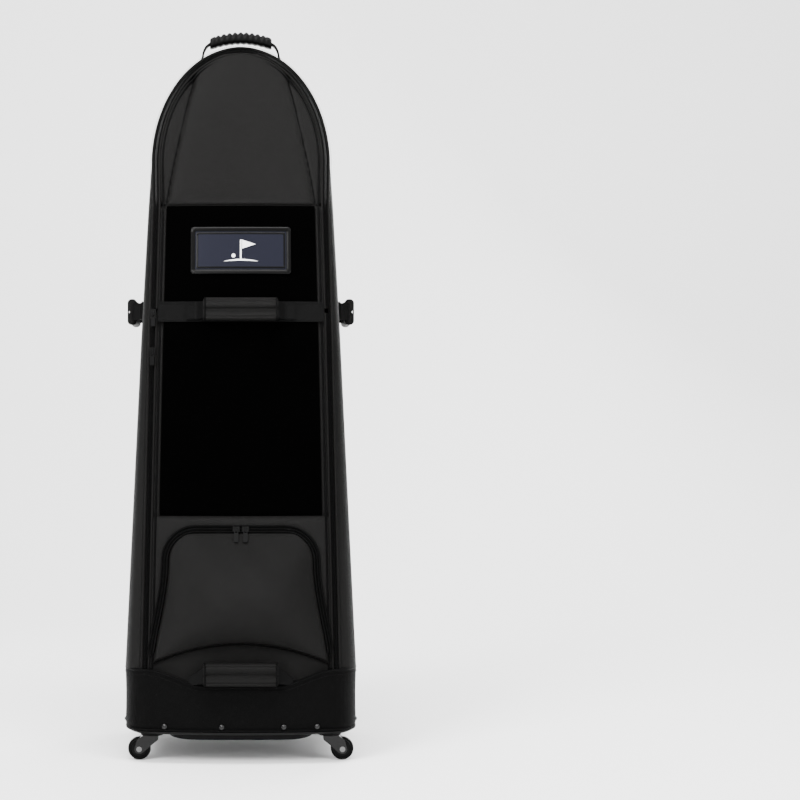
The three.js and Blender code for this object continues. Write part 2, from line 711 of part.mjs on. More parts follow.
function pocketChainRows() {
  const cornerZ = POCKET_TOP - POCKET_CORNER;
  const cornerX = POCKET_HALF - POCKET_CORNER;
  const radius = POCKET_CORNER + POCKET_ZIP;
  const right = [POCKET_FOOT + 2, 245, 300].map((z) => [pocketHalf(z) + POCKET_ZIP, z, 1, 0]);
  const arc = steps(4, (t) => {
    const turn = (t * Math.PI) / 2;
    const nx = Math.cos(turn);
    const nz = Math.sin(turn);
    return [cornerX + radius * nx, cornerZ + radius * nz, nx, nz];
  });
  const half = [...right, ...arc, [cornerX / 2, cornerZ + radius, 0, 1]];
  const mirrored = half.map(([x, z, nx, nz]) => [-x, z, -nx, nz]).reverse();
  return [...half, [0, cornerZ + radius, 0, 1], ...mirrored];
}
add('pocket_zip_chain', stripSolid(
  pocketChainRows(),
  2,
  (x, z) => doorY(x, z) - GAP - 4,
  (x, z) => doorY(x, z) - GAP,
), zipCloth);

// ---------- zip sliders and pullers ----------
// A slider's face is y = 0 with its bridge standing towards -Y; the puller turns on
// a bar that passes under the bridge.
const BRIDGE = { half: 4, width: 2.4, bar: 1.4, clear: 2.8 };
const EYE_Y = -BRIDGE.clear / 2;

function sliderSolid(halfX, halfZ, depth) {
  const body = block([-halfX, halfX], [0, depth], [-halfZ, halfZ]);
  const tall = BRIDGE.clear + BRIDGE.bar;
  const loop = block([-BRIDGE.width / 2, BRIDGE.width / 2], [-tall, 1], [-BRIDGE.half, BRIDGE.half]);
  const leg = BRIDGE.half - BRIDGE.bar;
  const hole = block([-BRIDGE.width, BRIDGE.width], [-BRIDGE.clear, 0], [-leg, leg]);
  return fromManifold(toManifold(loop).subtract(toManifold(hole)).add(toManifold(body)));
}

function pullerSolid(length, half) {
  const outline = new THREE.Shape();
  outline.moveTo(-3.6, 0.8);
  outline.lineTo(-3.6, -7.4);
  outline.lineTo(-half, -10);
  outline.lineTo(-half, -length + 2);
  outline.lineTo(-half + 1.5, -length);
  outline.lineTo(half - 1.5, -length);
  outline.lineTo(half, -length + 2);
  outline.lineTo(half, -10);
  outline.lineTo(3.6, -7.4);
  outline.lineTo(3.6, 0.8);
  const eye = new THREE.Path();
  eye.moveTo(-2, -0.8);
  eye.lineTo(2, -0.8);
  eye.lineTo(2, -7);
  eye.lineTo(-2, -7);
  outline.holes.push(eye);
  const plate = new THREE.ExtrudeGeometry(outline, { depth: 1.6, bevelEnabled: false });
  return plate.rotateX(Math.PI / 2).translate(0, 0.8, 0);
}

// lean: how far the front leans back; hang: how far the puller stands off at rest.
function addZipPull(names, at, size, lean, hang) {
  const holder = place(...at);
  holder.rotation.x = lean;
  add(names[0], sliderSolid(...size), zipMetal, holder);
  const puller = add(names[1], pullerSolid(24, 4), zipMetal, holder);
  puller.position.y = EYE_Y;
  puller.rotation.x = hang;
}

const SLIDER_DEPTH = 3.5;
const SLIDER_FLOAT = 0.4;
const mainSlider = [5, 8, SLIDER_DEPTH];
for (const [name, z, lean] of [
  ['upper', FOLD_Z + 45, BAND_LEAN],
  ['lower', FOLD_Z - 23, -Math.atan2(frontY(FOLD_Z) - frontY(BOOT_FRONT_TOP), FOLD_Z - BOOT_FRONT_TOP)],
]) {
  const y = frontY(z) - CHAIN_PROUD - SLIDER_FLOAT - SLIDER_DEPTH - 0.6;
  addZipPull([`${name}_slider`, `${name}_puller`], [-zipHalf(z), y, z], mainSlider, lean, 0);
}
const POCKET_SLIDER_X = 8;
const POCKET_HANG = -0.42;
for (const [side, sign] of [['left', -1], ['right', 1]]) {
  const z = POCKET_TOP + POCKET_ZIP;
  const y = doorY(0, z) - GAP - 4 - SLIDER_FLOAT - 3;
  const names = [`pocket_slider_${side}`, `pocket_puller_${side}`];
  addZipPull(names, [sign * POCKET_SLIDER_X, y, z], [6, 4.5, 3], 0, POCKET_HANG);
}

export default group;
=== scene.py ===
"""Looks of a wheeled golf travel case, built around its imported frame.  Metres, +Z up, front towards -Y."""
import math
import bpy
from mathutils import Matrix, Vector, noise


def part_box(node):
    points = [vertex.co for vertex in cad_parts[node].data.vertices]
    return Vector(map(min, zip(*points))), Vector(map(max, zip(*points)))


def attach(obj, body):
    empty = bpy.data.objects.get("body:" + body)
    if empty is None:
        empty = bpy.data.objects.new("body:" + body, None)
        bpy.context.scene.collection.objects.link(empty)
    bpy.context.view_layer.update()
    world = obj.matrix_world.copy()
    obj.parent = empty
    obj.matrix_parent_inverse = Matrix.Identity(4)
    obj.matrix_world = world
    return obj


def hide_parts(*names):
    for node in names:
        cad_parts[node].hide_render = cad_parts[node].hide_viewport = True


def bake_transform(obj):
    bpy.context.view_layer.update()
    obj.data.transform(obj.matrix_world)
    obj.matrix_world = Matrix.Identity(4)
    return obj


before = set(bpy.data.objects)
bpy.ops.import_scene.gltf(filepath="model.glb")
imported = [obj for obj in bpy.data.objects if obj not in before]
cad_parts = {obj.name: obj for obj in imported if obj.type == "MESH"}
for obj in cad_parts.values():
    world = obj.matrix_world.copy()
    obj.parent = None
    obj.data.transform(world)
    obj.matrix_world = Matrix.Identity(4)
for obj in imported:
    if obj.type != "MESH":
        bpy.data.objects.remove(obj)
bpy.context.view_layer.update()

# ---------- the case's outline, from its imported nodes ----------
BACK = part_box("back_panel")[1][1]
SHIFT = BACK - 0.170
BODY_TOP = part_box("crown_gusset")[1][2]
DOME_BASE = 1.060
DOME_HEIGHT = BODY_TOP - DOME_BASE
TOP_HALF = 0.162
FOOT_HALF = 0.202
SHELL_FOOT = 0.160
BACK_RADIUS = 0.040
WALL = 0.010
DOOR = 0.009
CROWN = 0.012
ZIP_INSET = 0.008
ZIP_FOOT_HALF, ZIP_WAIST_HALF = 0.166, 0.151
FRONT_LINE = [(0.057, -0.167), (0.134, -0.160), (0.735, -0.105), (0.975, -0.055), (1.290, 0.110)]
FOLD_Z, CURL_Z, SEAM_Z = 0.735, 0.835, 0.975
BOOT_FRONT_TOP, BOOT_TOP = 0.134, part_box("boot_band")[1][2]
BOOT_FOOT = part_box("boot_band")[0][2]
POCKET_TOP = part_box("pocket_cover")[1][2]
VELVET_FOOT = 0.426
BAND_Z, SIDE_HANDLE_Z = 0.783, 0.786


def case_y(value):
    """A depth given in the case's own frame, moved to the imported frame."""
    return value + SHIFT


def clamp01(value):
    return min(1.0, max(0.0, value))


def smooth(value):
    value = clamp01(value)
    return value * value * (3 - 2 * value)


def mix(a, b, t):
    return a + (b - a) * t


def spread(count, low=0.0, high=1.0):
    return [mix(low, high, i / count) for i in range(count + 1)]


def line_at(z):
    for (z0, y0), (z1, y1) in zip(FRONT_LINE, FRONT_LINE[1:]):
        if z <= z1 or z1 == FRONT_LINE[-1][0]:
            return mix(y0, y1, (z - z0) / (z1 - z0))


def front_y(z):
    """The zip line's depth, with its bends eased over a few centimetres."""
    ease = 0.012
    return (line_at(z - ease) + 2 * line_at(z) + line_at(z + ease)) / 4 + SHIFT


def dome_half(half, height, z):
    rise = (z - DOME_BASE) / height
    return half * math.sqrt(max(0.0, 1 - rise * rise))


def outer_half(z):
    if z > DOME_BASE:
        return dome_half(TOP_HALF, DOME_HEIGHT, z)
    return mix(TOP_HALF, FOOT_HALF, clamp01((DOME_BASE - z) / (DOME_BASE - SHELL_FOOT)))


def zip_half(z):
    if z > DOME_BASE:
        return dome_half(TOP_HALF - ZIP_INSET, DOME_HEIGHT - ZIP_INSET, z)
    if z > SEAM_Z:
        return mix(ZIP_WAIST_HALF, TOP_HALF - ZIP_INSET, (z - SEAM_Z) / (DOME_BASE - SEAM_Z))
    return mix(ZIP_FOOT_HALF, ZIP_WAIST_HALF, (z - BOOT_FRONT_TOP) / (SEAM_Z - BOOT_FRONT_TOP))


def door_y(x, z):
    half = max(0.001, zip_half(z))
    across = clamp01(abs(x) / half)
    return front_y(z) - CROWN * (1 - across * across) * min(1.0, half / 0.154)


def boot_top(x):
    return mix(BOOT_FRONT_TOP, BOOT_TOP, smooth((abs(x) - 0.060) / 0.105))


# ---------- camera, floor and light ----------
def look_at(thing, target):
    thing.rotation_euler = (Vector(target) - thing.location).to_track_quat("-Z", "Y").to_euler()


def add_camera():
    data = bpy.data.cameras.new("camera")
    data.lens = 78.4
    data.sensor_width = 36.0
    data.shift_x = 0.199
    data.shift_y = -0.016
    camera = bpy.data.objects.new("camera", data)
    camera.location = (0.0, -3.157, 0.650)
    camera.rotation_euler = (math.radians(90), 0, 0)
    bpy.context.scene.collection.objects.link(camera)
    bpy.context.scene.camera = camera


def add_light(name, place, target, size, power):
    data = bpy.data.lights.new(name, "AREA")
    data.shape = "RECTANGLE"
    data.size, data.size_y = size
    data.energy = power
    lamp = bpy.data.objects.new(name, data)
    lamp.location = place
    bpy.context.scene.collection.objects.link(lamp)
    look_at(lamp, target)


def add_stage():
    mesh = bpy.data.meshes.new("floor")
    far, near, side, rise = 3.2, -5.0, 7.0, 5.0
    curve = 1.5
    profile = [(near, 0.0), (far - curve, 0.0)]
    turns = spread(12, 0.1, math.pi / 2)
    profile += [(far - curve + curve * math.sin(a), curve - curve * math.cos(a)) for a in turns]
    profile.append((far, rise))
    points = [(x, y, z - 0.0002) for y, z in profile for x in (-side, side)]
    faces = [(2 * i, 2 * i + 1, 2 * i + 3, 2 * i + 2) for i in range(len(profile) - 1)]
    mesh.from_pydata(points, [], faces)
    for face in mesh.polygons:
        face.use_smooth = True
    floor = bpy.data.objects.new("floor", mesh)
    bpy.context.scene.collection.objects.link(floor)
    paper = bpy.data.materials.new("paper")
    paper.use_nodes = True
    shader = paper.node_tree.nodes["Principled BSDF"]
    shader.inputs["Base Color"].default_value = (0.93, 0.93, 0.93, 1)
    shader.inputs["Roughness"].default_value = 0.75
    mesh.materials.append(paper)
    world = bpy.data.worlds.new("studio")
    world.use_nodes = True
    world.node_tree.nodes["Background"].inputs["Color"].default_value = (1, 1, 1, 1)
    world.node_tree.nodes["Background"].inputs["Strength"].default_value = 1.5
    bpy.context.scene.world = world
    add_light("key", (-1.8, -2.4, 2.6), (0, 0, 0.7), (1.3, 1.3), 190)
    add_light("fill", (2.4, -1.8, 1.7), (0, 0, 0.7), (1.2, 1.8), 60)
    add_light("top", (0.0, -1.0, 3.6), (0, 0, 0.4), (2.0, 1.0), 230)
    add_light("rim", (1.6, 2.2, 2.2), (0, 0, 0.8), (1.2, 1.6), 70)


# ---------- materials ----------
def rgb(level, warm=0.0):
    return (level * (1 + warm), level, level * (1 - warm), 1.0)


def material(name, color, rough, metal=0.0, weave=0.0, bump=0.4, sheen=0.0, coat=0.0,
             mottle=0.12, grain=0.0, crumple=0.0, gloss=0.5):
    """A procedural finish: weave is the thread pitch in metres, grain a moulded texture's scale."""
    made = bpy.data.materials.new(name)
    made.use_nodes = True
    tree = made.node_tree
    nodes, links = tree.nodes, tree.links
    shader = nodes["Principled BSDF"]
    shader.inputs["Roughness"].default_value = rough
    shader.inputs["Metallic"].default_value = metal
    shader.inputs["Specular IOR Level"].default_value = gloss
    shader.inputs["Sheen Weight"].default_value = sheen
    shader.inputs["Sheen Roughness"].default_value = 0.4
    shader.inputs["Coat Weight"].default_value = coat
    shader.inputs["Coat Roughness"].default_value = 0.2
    place = nodes.new("ShaderNodeTexCoord")
    cloud = nodes.new("ShaderNodeTexNoise")
    cloud.inputs["Scale"].default_value = 9.0
    cloud.inputs["Detail"].default_value = 6.0
    links.new(place.outputs["Object"], cloud.inputs["Vector"])
    tint = nodes.new("ShaderNodeMix")
    tint.data_type = "RGBA"
    tint.inputs["A"].default_value = tuple(c * (1 - mottle) for c in color[:3]) + (1,)
    tint.inputs["B"].default_value = tuple(c * (1 + mottle) for c in color[:3]) + (1,)
    links.new(cloud.outputs["Fac"], tint.inputs["Factor"])
    base = tint.outputs["Result"]
    height = None

    def combine(kind, a, b):
        node = nodes.new("ShaderNodeMath")
        node.operation = kind
        for i, value in enumerate((a, b)):
            if isinstance(value, (int, float)):
                node.inputs[i].default_value = value
            else:
                links.new(value, node.inputs[i])
        return node.outputs[0]

    if weave:
        split = nodes.new("ShaderNodeSeparateXYZ")
        links.new(place.outputs["Object"], split.inputs[0])
        turns = 2 * math.pi / weave
        level = combine("ADD", split.outputs["X"], split.outputs["Y"])
        warp = combine("SINE", combine("MULTIPLY", level, turns), 0.0)
        weft = combine("SINE", combine("MULTIPLY", split.outputs["Z"], turns), 0.0)
        height = combine("MULTIPLY", warp, weft)
        thread = nodes.new("ShaderNodeMix")
        thread.data_type = "RGBA"
        thread.blend_type = "MULTIPLY"
        thread.inputs["B"].default_value = (0.72, 0.72, 0.72, 1)
        links.new(combine("MULTIPLY_ADD", height, 0.5), thread.inputs["Factor"])
        links.new(base, thread.inputs["A"])
        base = thread.outputs["Result"]
    if grain or crumple:
        speck = nodes.new("ShaderNodeTexNoise")
        speck.inputs["Scale"].default_value = 1 / (grain or crumple)
        speck.inputs["Detail"].default_value = 3.0 if grain else 5.0
        speck.inputs["Distortion"].default_value = 0.0 if grain else 1.2
        links.new(place.outputs["Object"], speck.inputs["Vector"])
        height = speck.outputs["Fac"]
    if height is not None:
        relief = nodes.new("ShaderNodeBump")
        relief.inputs["Strength"].default_value = bump
        relief.inputs["Distance"].default_value = 0.004 if crumple else 0.0004
        links.new(height, relief.inputs["Height"])
        links.new(relief.outputs["Normal"], shader.inputs["Normal"])
    links.new(base, shader.inputs["Base Color"])
    return made


SHELL = material("shell_twill", rgb(0.0027, 0.05), 0.44, weave=0.0011, bump=0.5, mottle=0.20, gloss=0.060)
VELVET = material("loop_pile", rgb(0.0004), 0.95, grain=0.0009, bump=0.7, mottle=0.2, gloss=0.0)
BOOT = material("boot_ballistic", rgb(0.0012), 0.46, weave=0.0016, bump=0.7, mottle=0.14, gloss=0.022)
PIPING = material("piping_cord", rgb(0.0007), 0.42, weave=0.0008, bump=0.5, gloss=0.035)
LINING = material("satin_lining", rgb(0.0080), 0.33, crumple=0.050, bump=0.9, mottle=0.14, gloss=0.10)
NYLON = material("pocket_nylon", rgb(0.0015), 0.24, crumple=0.020, bump=0.45, gloss=0.22)
WEBBING = material("webbing", rgb(0.0021), 0.55, weave=0.0019, bump=0.8, gloss=0.040)
WRAP = material("wrap_cloth", rgb(0.0026, 0.05), 0.46, weave=0.0010, bump=0.5, gloss=0.060)
TAPE = material("zip_tape", rgb(0.0014), 0.6, weave=0.0007, bump=0.5, gloss=0.028)
COIL = material("zip_coil", rgb(0.0012), 0.30, grain=0.0012, bump=0.2, gloss=0.10)
PULL = material("zip_metal", rgb(0.006), 0.3, metal=0.75, grain=0.002, bump=0.1, gloss=0.2)
TRAY = material("tray_plastic", rgb(0.0016), 0.45, grain=0.0008, bump=0.5, gloss=0.040)
CASTER = material("caster_plastic", rgb(0.0010), 0.22, grain=0.003, bump=0.08, gloss=0.18)
TREAD = material("caster_tread", rgb(0.0012), 0.40, grain=0.0012, bump=0.25, gloss=0.06)
STEEL = material("bright_steel", rgb(0.10), 0.25, metal=1.0, grain=0.002, bump=0.08)
RIVET = material("dark_rivet", rgb(0.022), 0.28, metal=1.0, grain=0.002, bump=0.1)
GRIP = material("grip_rubber", rgb(0.0018), 0.42, grain=0.0010, bump=0.5, gloss=0.060)
WINDOW = material("window_frame", rgb(0.0015), 0.33, grain=0.0008, bump=0.3, gloss=0.070)
SLATE = (0.0082, 0.0086, 0.0135, 1)
CARD = material("window_card", SLATE, 0.3, grain=0.002, bump=0.05, mottle=0.05, gloss=0.040)
MARK = material("window_mark", rgb(0.80), 0.5, grain=0.001, bump=0.05, mottle=0.03)
THREAD = material("thread", rgb(0.0040), 0.5, weave=0.0006, bump=0.5, gloss=0.05)


# ---------- mesh making ----------
def piece_from(name, points, faces, finish, body, indices=None, sharp=38):
    mesh = bpy.data.meshes.new(name)
    mesh.from_pydata([tuple(p) for p in points], [], faces)
    for each in (finish if isinstance(finish, list) else [finish]):
        mesh.materials.append(each)
    mesh.polygons.foreach_set("use_smooth", [True] * len(mesh.polygons))
    if indices:
        mesh.polygons.foreach_set("material_index", indices)
    mesh.update()
    mesh.set_sharp_from_angle(angle=math.radians(sharp))
    made = bpy.data.objects.new(name, mesh)
    bpy.context.scene.collection.objects.link(made)
    if body:
        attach(made, body)
    return made


def skin(name, outer, inner, finish, body, ring=False, choose=None):
    """A closed cloth piece between two grids; choose(row, col) picks an outer face's material."""
    rows, cols = len(outer), len(outer[0])
    points = [p for row in outer for p in row] + [p for row in inner for p in row]
    faces, indices = [], []

    def at(side, r, c):
        return (side * rows + r) * cols + c % cols

    def quad(corners, index):
        faces.append(corners)
        indices.append(index)

    last, spans = rows - 1, cols if ring else cols - 1
    back = len(finish) - 1 if isinstance(finish, list) else 0
    for r in range(last):
        for c in range(spans):
            index = choose(r, c) if choose else 0
            quad((at(0, r, c), at(0, r, c + 1), at(0, r + 1, c + 1), at(0, r + 1, c)), index)
            quad((at(1, r, c), at(1, r + 1, c), at(1, r + 1, c + 1), at(1, r, c + 1)), back)
        if not ring:
            quad((at(0, r, 0), at(0, r + 1, 0), at(1, r + 1, 0), at(1, r, 0)), 0)
            quad((at(1, r, spans), at(1, r + 1, spans), at(0, r + 1, spans), at(0, r, spans)), 0)
    for c in range(spans):
        quad((at(1, 0, c), at(1, 0, c + 1), at(0, 0, c + 1), at(0, 0, c)), 0)
        quad((at(0, last, c), at(0, last, c + 1), at(1, last, c + 1), at(1, last, c)), 0)
    if signed_volume(points, faces) < 0:
        faces = [tuple(reversed(face)) for face in faces]
    return piece_from(name, points, faces, finish, body, indices)


def signed_volume(points, faces):
    total = 0.0
    for face in faces:
        a = Vector(points[face[0]])
        for i in range(1, len(face) - 1):
            total += a.dot(Vector(points[face[i]]).cross(Vector(points[face[i + 1]])))
    return total


def loft(name, loops, finish, body, closed=False, sharp=38):
    """A solid through loops of points, capped unless it closes on itself."""
    size = len(loops[0])
    points = [p for loop in loops for p in loop]
    count = len(loops)
    faces = []
    for r in range(count if closed else count - 1):
        a, b = r * size, ((r + 1) % count) * size
        faces += [(a + c, a + (c + 1) % size, b + (c + 1) % size, b + c) for c in range(size)]
    if not closed:
        faces.append(tuple(reversed(range(size))))
        faces.append(tuple((count - 1) * size + c for c in range(size)))
    if signed_volume(points, faces) < 0:
        faces = [tuple(reversed(face)) for face in faces]
    return piece_from(name, points, faces, finish, body, sharp=sharp)


def section_frames(path, up):
    """Along, across and up directions at each point of a path."""
    frames = []
    for i, point in enumerate(path):
        along = (path[min(i + 1, len(path) - 1)] - path[max(i - 1, 0)]).normalized()
        guide = up(i) if callable(up) else Vector(up)
        across = along.cross(guide).normalized()
        frames.append((point, across, across.cross(along).normalized()))
    return frames


def tube(name, path, radius, finish, body, up=(0, -1, 0), sides=8, closed=False):
    path = [Vector(p) for p in path]
    loops = []
    for point, across, lift in section_frames(path, up):
        turns = [2 * math.pi * k / sides for k in range(sides)]
        loops.append([point + radius * (math.cos(t) * across + math.sin(t) * lift) for t in turns])
    return loft(name, loops, finish, body, closed)


def round_box(width, height, radius, corner=4):
    points = []
    for sx, sy, start in ((1, 1, 0), (-1, 1, 90), (-1, -1, 180), (1, -1, 270)):
        for k in range(corner + 1):
            angle = math.radians(start + 90 * k / corner)
            x = sx * (width / 2 - radius) + radius * math.cos(angle)
            points.append((x, sy * (height / 2 - radius) + radius * math.sin(angle)))
    return points


def fine_box(width, height, radius, pitch=0.0009):
    """A rounded box section with close points along its outer face, for grooves."""
    corners = round_box(width, height, radius, corner=7)
    points = []
    for (ax, ay), (bx, by) in zip(corners, corners[1:] + corners[:1]):
        cuts = max(1, round(math.hypot(bx - ax, by - ay) / pitch)) if min(ay, by) > 0 else 1
        points += [(mix(ax, bx, k / cuts), mix(ay, by, k / cuts)) for k in range(cuts)]
    return points


def teeth(name, path, outward, size, pitch, finish, body, up=(0, -1, 0)):
    """Small blocks set along a path, all in one mesh: zip teeth or stitches."""
    path = [Vector(p) for p in path]
    points, faces = [], []
    carried = pitch / 2
    for a, b in zip(path, path[1:]):
        length = (b - a).length
        along = (b - a).normalized()
        guide = Vector(up)
        across = along.cross(guide).normalized()
        lift = across.cross(along).normalized()
        while carried < length:
            middle = a + along * carried + across * outward
            start = len(points)
            for k in (-1, 1):
                for s, h in ((-1, 0), (-0.6, 1), (0.6, 1), (1, 0)):
                    half = size[0] / 2 * (1 if h == 0 else 0.7)
                    points.append(middle + along * k * half + across * s * size[1] / 2 + lift * h * size[2])
            quads = ((0, 1, 2, 3), (7, 6, 5, 4), (0, 4, 5, 1), (1, 5, 6, 2), (2, 6, 7, 3), (3, 7, 4, 0))
            faces += [tuple(start + i for i in quad) for quad in quads]
            carried += pitch
        carried -= length
    return piece_from(name, points, faces, finish, body, sharp=30)


def stitches(name, path, body, up=(0, -1, 0), pitch=0.0042, shift=0.0):
    return teeth(name, path, shift, (0.0030, 0.0007, 0.0005), pitch, THREAD, body, up)


def seam_distance(x, y, lines):
    best = 1.0
    for line in lines:
        for (ax, ay), (bx, by) in zip(line, line[1:]):
            dx, dy = bx - ax, by - ay
            t = clamp01(((x - ax) * dx + (y - ay) * dy) / (dx * dx + dy * dy))
            best = min(best, math.hypot(x - ax - t * dx, y - ay - t * dy))
    return best


def sunk(distance, pillow, reach):
    """How far padded cloth sinks towards a sewn seam."""
    return pillow * math.exp(-distance / reach) + 0.0012 * math.exp(-(distance / 0.0018) ** 2)


# ---------- side and crown gusset ----------
SIDE_SEAMS = [
    [(case_y(0.175), 0.930), (case_y(0.02), 0.938), (case_y(-0.075), 0.955)],
    [(case_y(0.160), 0.922), (case_y(0.118), 0.898), (case_y(0.118), 0.836), (case_y(0.160), 0.812)],
    [(case_y(-0.060), 0.948), (case_y(0.010), 0.898), (case_y(0.010), 0.838), (case_y(-0.100), 0.812)],
    [(case_y(-0.105), 0.745), (case_y(-0.060), 0.748)],
    [(case_y(0.175), 0.690), (case_y(-0.125), 0.694)],
    [(case_y(0.175), 0.433), (case_y(-0.140), 0.440)],
    [(case_y(-0.135), 0.433), (case_y(0.160), 0.166)],
]


def gusset_section(inset, zip_y, x, z, flat):
    """Outer and inner (distance in, y) points round the gusset at one place on the silhouette."""
    edge = inset - 0.004
    depth = 0.9 * inset + 0.004
    shoulder = zip_y + depth
    corner_y = BACK - BACK_RADIUS
    thin = min(WALL, 0.6 * edge)
    outer, inner = [], []
    arc, straight, corner = 8, 44, 9
    for k in range(arc + 1):
        turn = math.pi / 2 * k / arc
        for points, thick in ((outer, 0.0), (inner, thin)):
            d = edge - (edge - thick) * math.sin(turn)
            points.append((d, shoulder - (depth - thick) * math.cos(turn)))
    for k in range(1, straight):
        y = mix(shoulder, corner_y, k / straight)
        near = seam_distance(y, z, SIDE_SEAMS) if flat else 1.0
        hold = smooth(k / 5) * smooth((straight - k) / 3)
        outer.append((sunk(near, 0.0042, 0.011) * hold, y))
        inner.append((mix(thin, WALL, smooth(k / 6)), y))
    for k in range(corner + 1):
        turn = math.pi / 2 * k / corner
        near = seam_distance(corner_y + BACK_RADIUS * turn * 0.9, z, SIDE_SEAMS) if flat else 1.0
        for points, thick in ((outer, sunk(near, 0.0030, 0.011) * math.cos(turn)), (inner, WALL)):
            radius = BACK_RADIUS - thick
            points.append((BACK_RADIUS - radius * math.cos(turn), corner_y + radius * math.sin(turn)))
    return outer, inner


def silhouette_rows():
    """Points (x, z, outward normal) from the right foot over the dome to the left foot."""
    straight = [(outer_half(z), z, 1.0, 0.0) for z in spread(180, BOOT_TOP + 0.0008, DOME_BASE - 0.002)]
    dome = []
    for angle in spread(72, 0.0, math.pi):
        normal = Vector((math.cos(angle) / TOP_HALF, math.sin(angle) / DOME_HEIGHT)).normalized()
        x, z = TOP_HALF * math.cos(angle), DOME_BASE + DOME_HEIGHT * math.sin(angle)
        dome.append((x, z, normal.x, normal.y))
    return straight + dome + [(-x, z, -nx, nz) for x, z, nx, nz in reversed(straight)]


def make_gusset():
    outer, inner = [], []
    for x, z, nx, nz in silhouette_rows():
        flat = z < DOME_BASE
        inset = abs(x) - zip_half(z) if flat else ZIP_INSET
        out, back = gusset_section(inset, front_y(z - nz * inset), x, z, flat)
        outer.append([(x - nx * d, y, z - nz * d) for d, y in out])
        inner.append([(x - nx * d, y, z - nz * d) for d, y in back])
    gusset = skin("gusset_shell", outer, inner, [SHELL, LINING], "shell")
    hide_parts("left_side_panel", "right_side_panel", "crown_gusset")


def make_back():
    inset = BACK_RADIUS + 0.001
    rows = [(x - nx * inset, z - nz * inset) for x, z, nx, nz in silhouette_rows()]
    half = rows[:len(rows) // 2 + 1]
    seams = [[(-0.13, z), (0.13, z)] for z in (0.433, 0.690, 0.932)]
    seams += [[(side * 0.070, 0.165), (side * 0.058, 1.10)] for side in (-1, 1)]
    outer, inner = [], []
    for width, z in half[::2]:
        row = [(mix(-width, width, t), z) for t in spread(36)]
        outer.append([(x, BACK - sunk(seam_distance(x, z, seams), 0.003, 0.010), z) for x, z in row])
        inner.append([(x, BACK - WALL, z) for x, z in row])
    back = skin("back_skin", outer, inner, [SHELL, LINING], "shell")
    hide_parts("back_panel")
    path = [(x, BACK - 0.0008, z) for x, z in rows[::3]]
    tube("back_piping", path, 0.0020, PIPING, "shell", up=(0, 1, 0))


# ---------- front ----------
DOOR_MARGIN = 0.006
CREASE = [(0.133, 0.978), (0.124, 1.040), (0.109, 1.120), (0.096, 1.185), (0.089, 1.212),
          (0.089, 1.226), (0.097, 1.238)]
DOME_SEAMS = [CREASE, [(-x, z) for x, z in CREASE], [(-0.16, SEAM_Z), (0.16, SEAM_Z)]]


def velvet_half(z):
    return zip_half(z) - 0.019


def front_relief(x, z):
    """Distance the front skin sinks below the door's face."""
    if z > SEAM_Z - 0.004:
        return sunk(seam_distance(x, z, DOME_SEAMS), 0.0062, 0.009) + 0.0006
    if VELVET_FOOT < z:
        return 0.0002 if abs(x) < velvet_half(z) + 0.0002 else 0.0022
    return 0.0012 + sunk(abs(z - VELVET_FOOT), 0.0014, 0.005)


FRONT_EDGE = 8
FRONT_COLUMNS = 96


def front_grid(levels, low, depth):
    grid = []
    for z_level in levels:
        row = []
        for column in range(FRONT_COLUMNS + 1):
            z = max(z_level, low((2 * column / FRONT_COLUMNS - 1) * ZIP_FOOT_HALF)) if low else z_level
            half = zip_half(z) - DOOR_MARGIN
            bare = half * 0.913 if z > SEAM_Z else velvet_half(z)
            inner = min(column, FRONT_COLUMNS - column)
            if inner < FRONT_EDGE:
                x = mix(half, bare, inner / FRONT_EDGE) * (-1 if column < FRONT_EDGE else 1)
            else:
                x = mix(-bare, bare, (column - FRONT_EDGE) / (FRONT_COLUMNS - 2 * FRONT_EDGE))
            sink = front_relief(x, z) if depth == 0 else depth
            row.append((x, door_y(x, z) + sink, z))
        grid.append(row)
    return grid


BEND_REACH = 0.018


def bend_span(z, before_y, after_y):
    """Two points either side of a fold line, BEND_REACH below and above it."""
    return (0, case_y(before_y), z - BEND_REACH), (0, case_y(after_y), z + BEND_REACH)


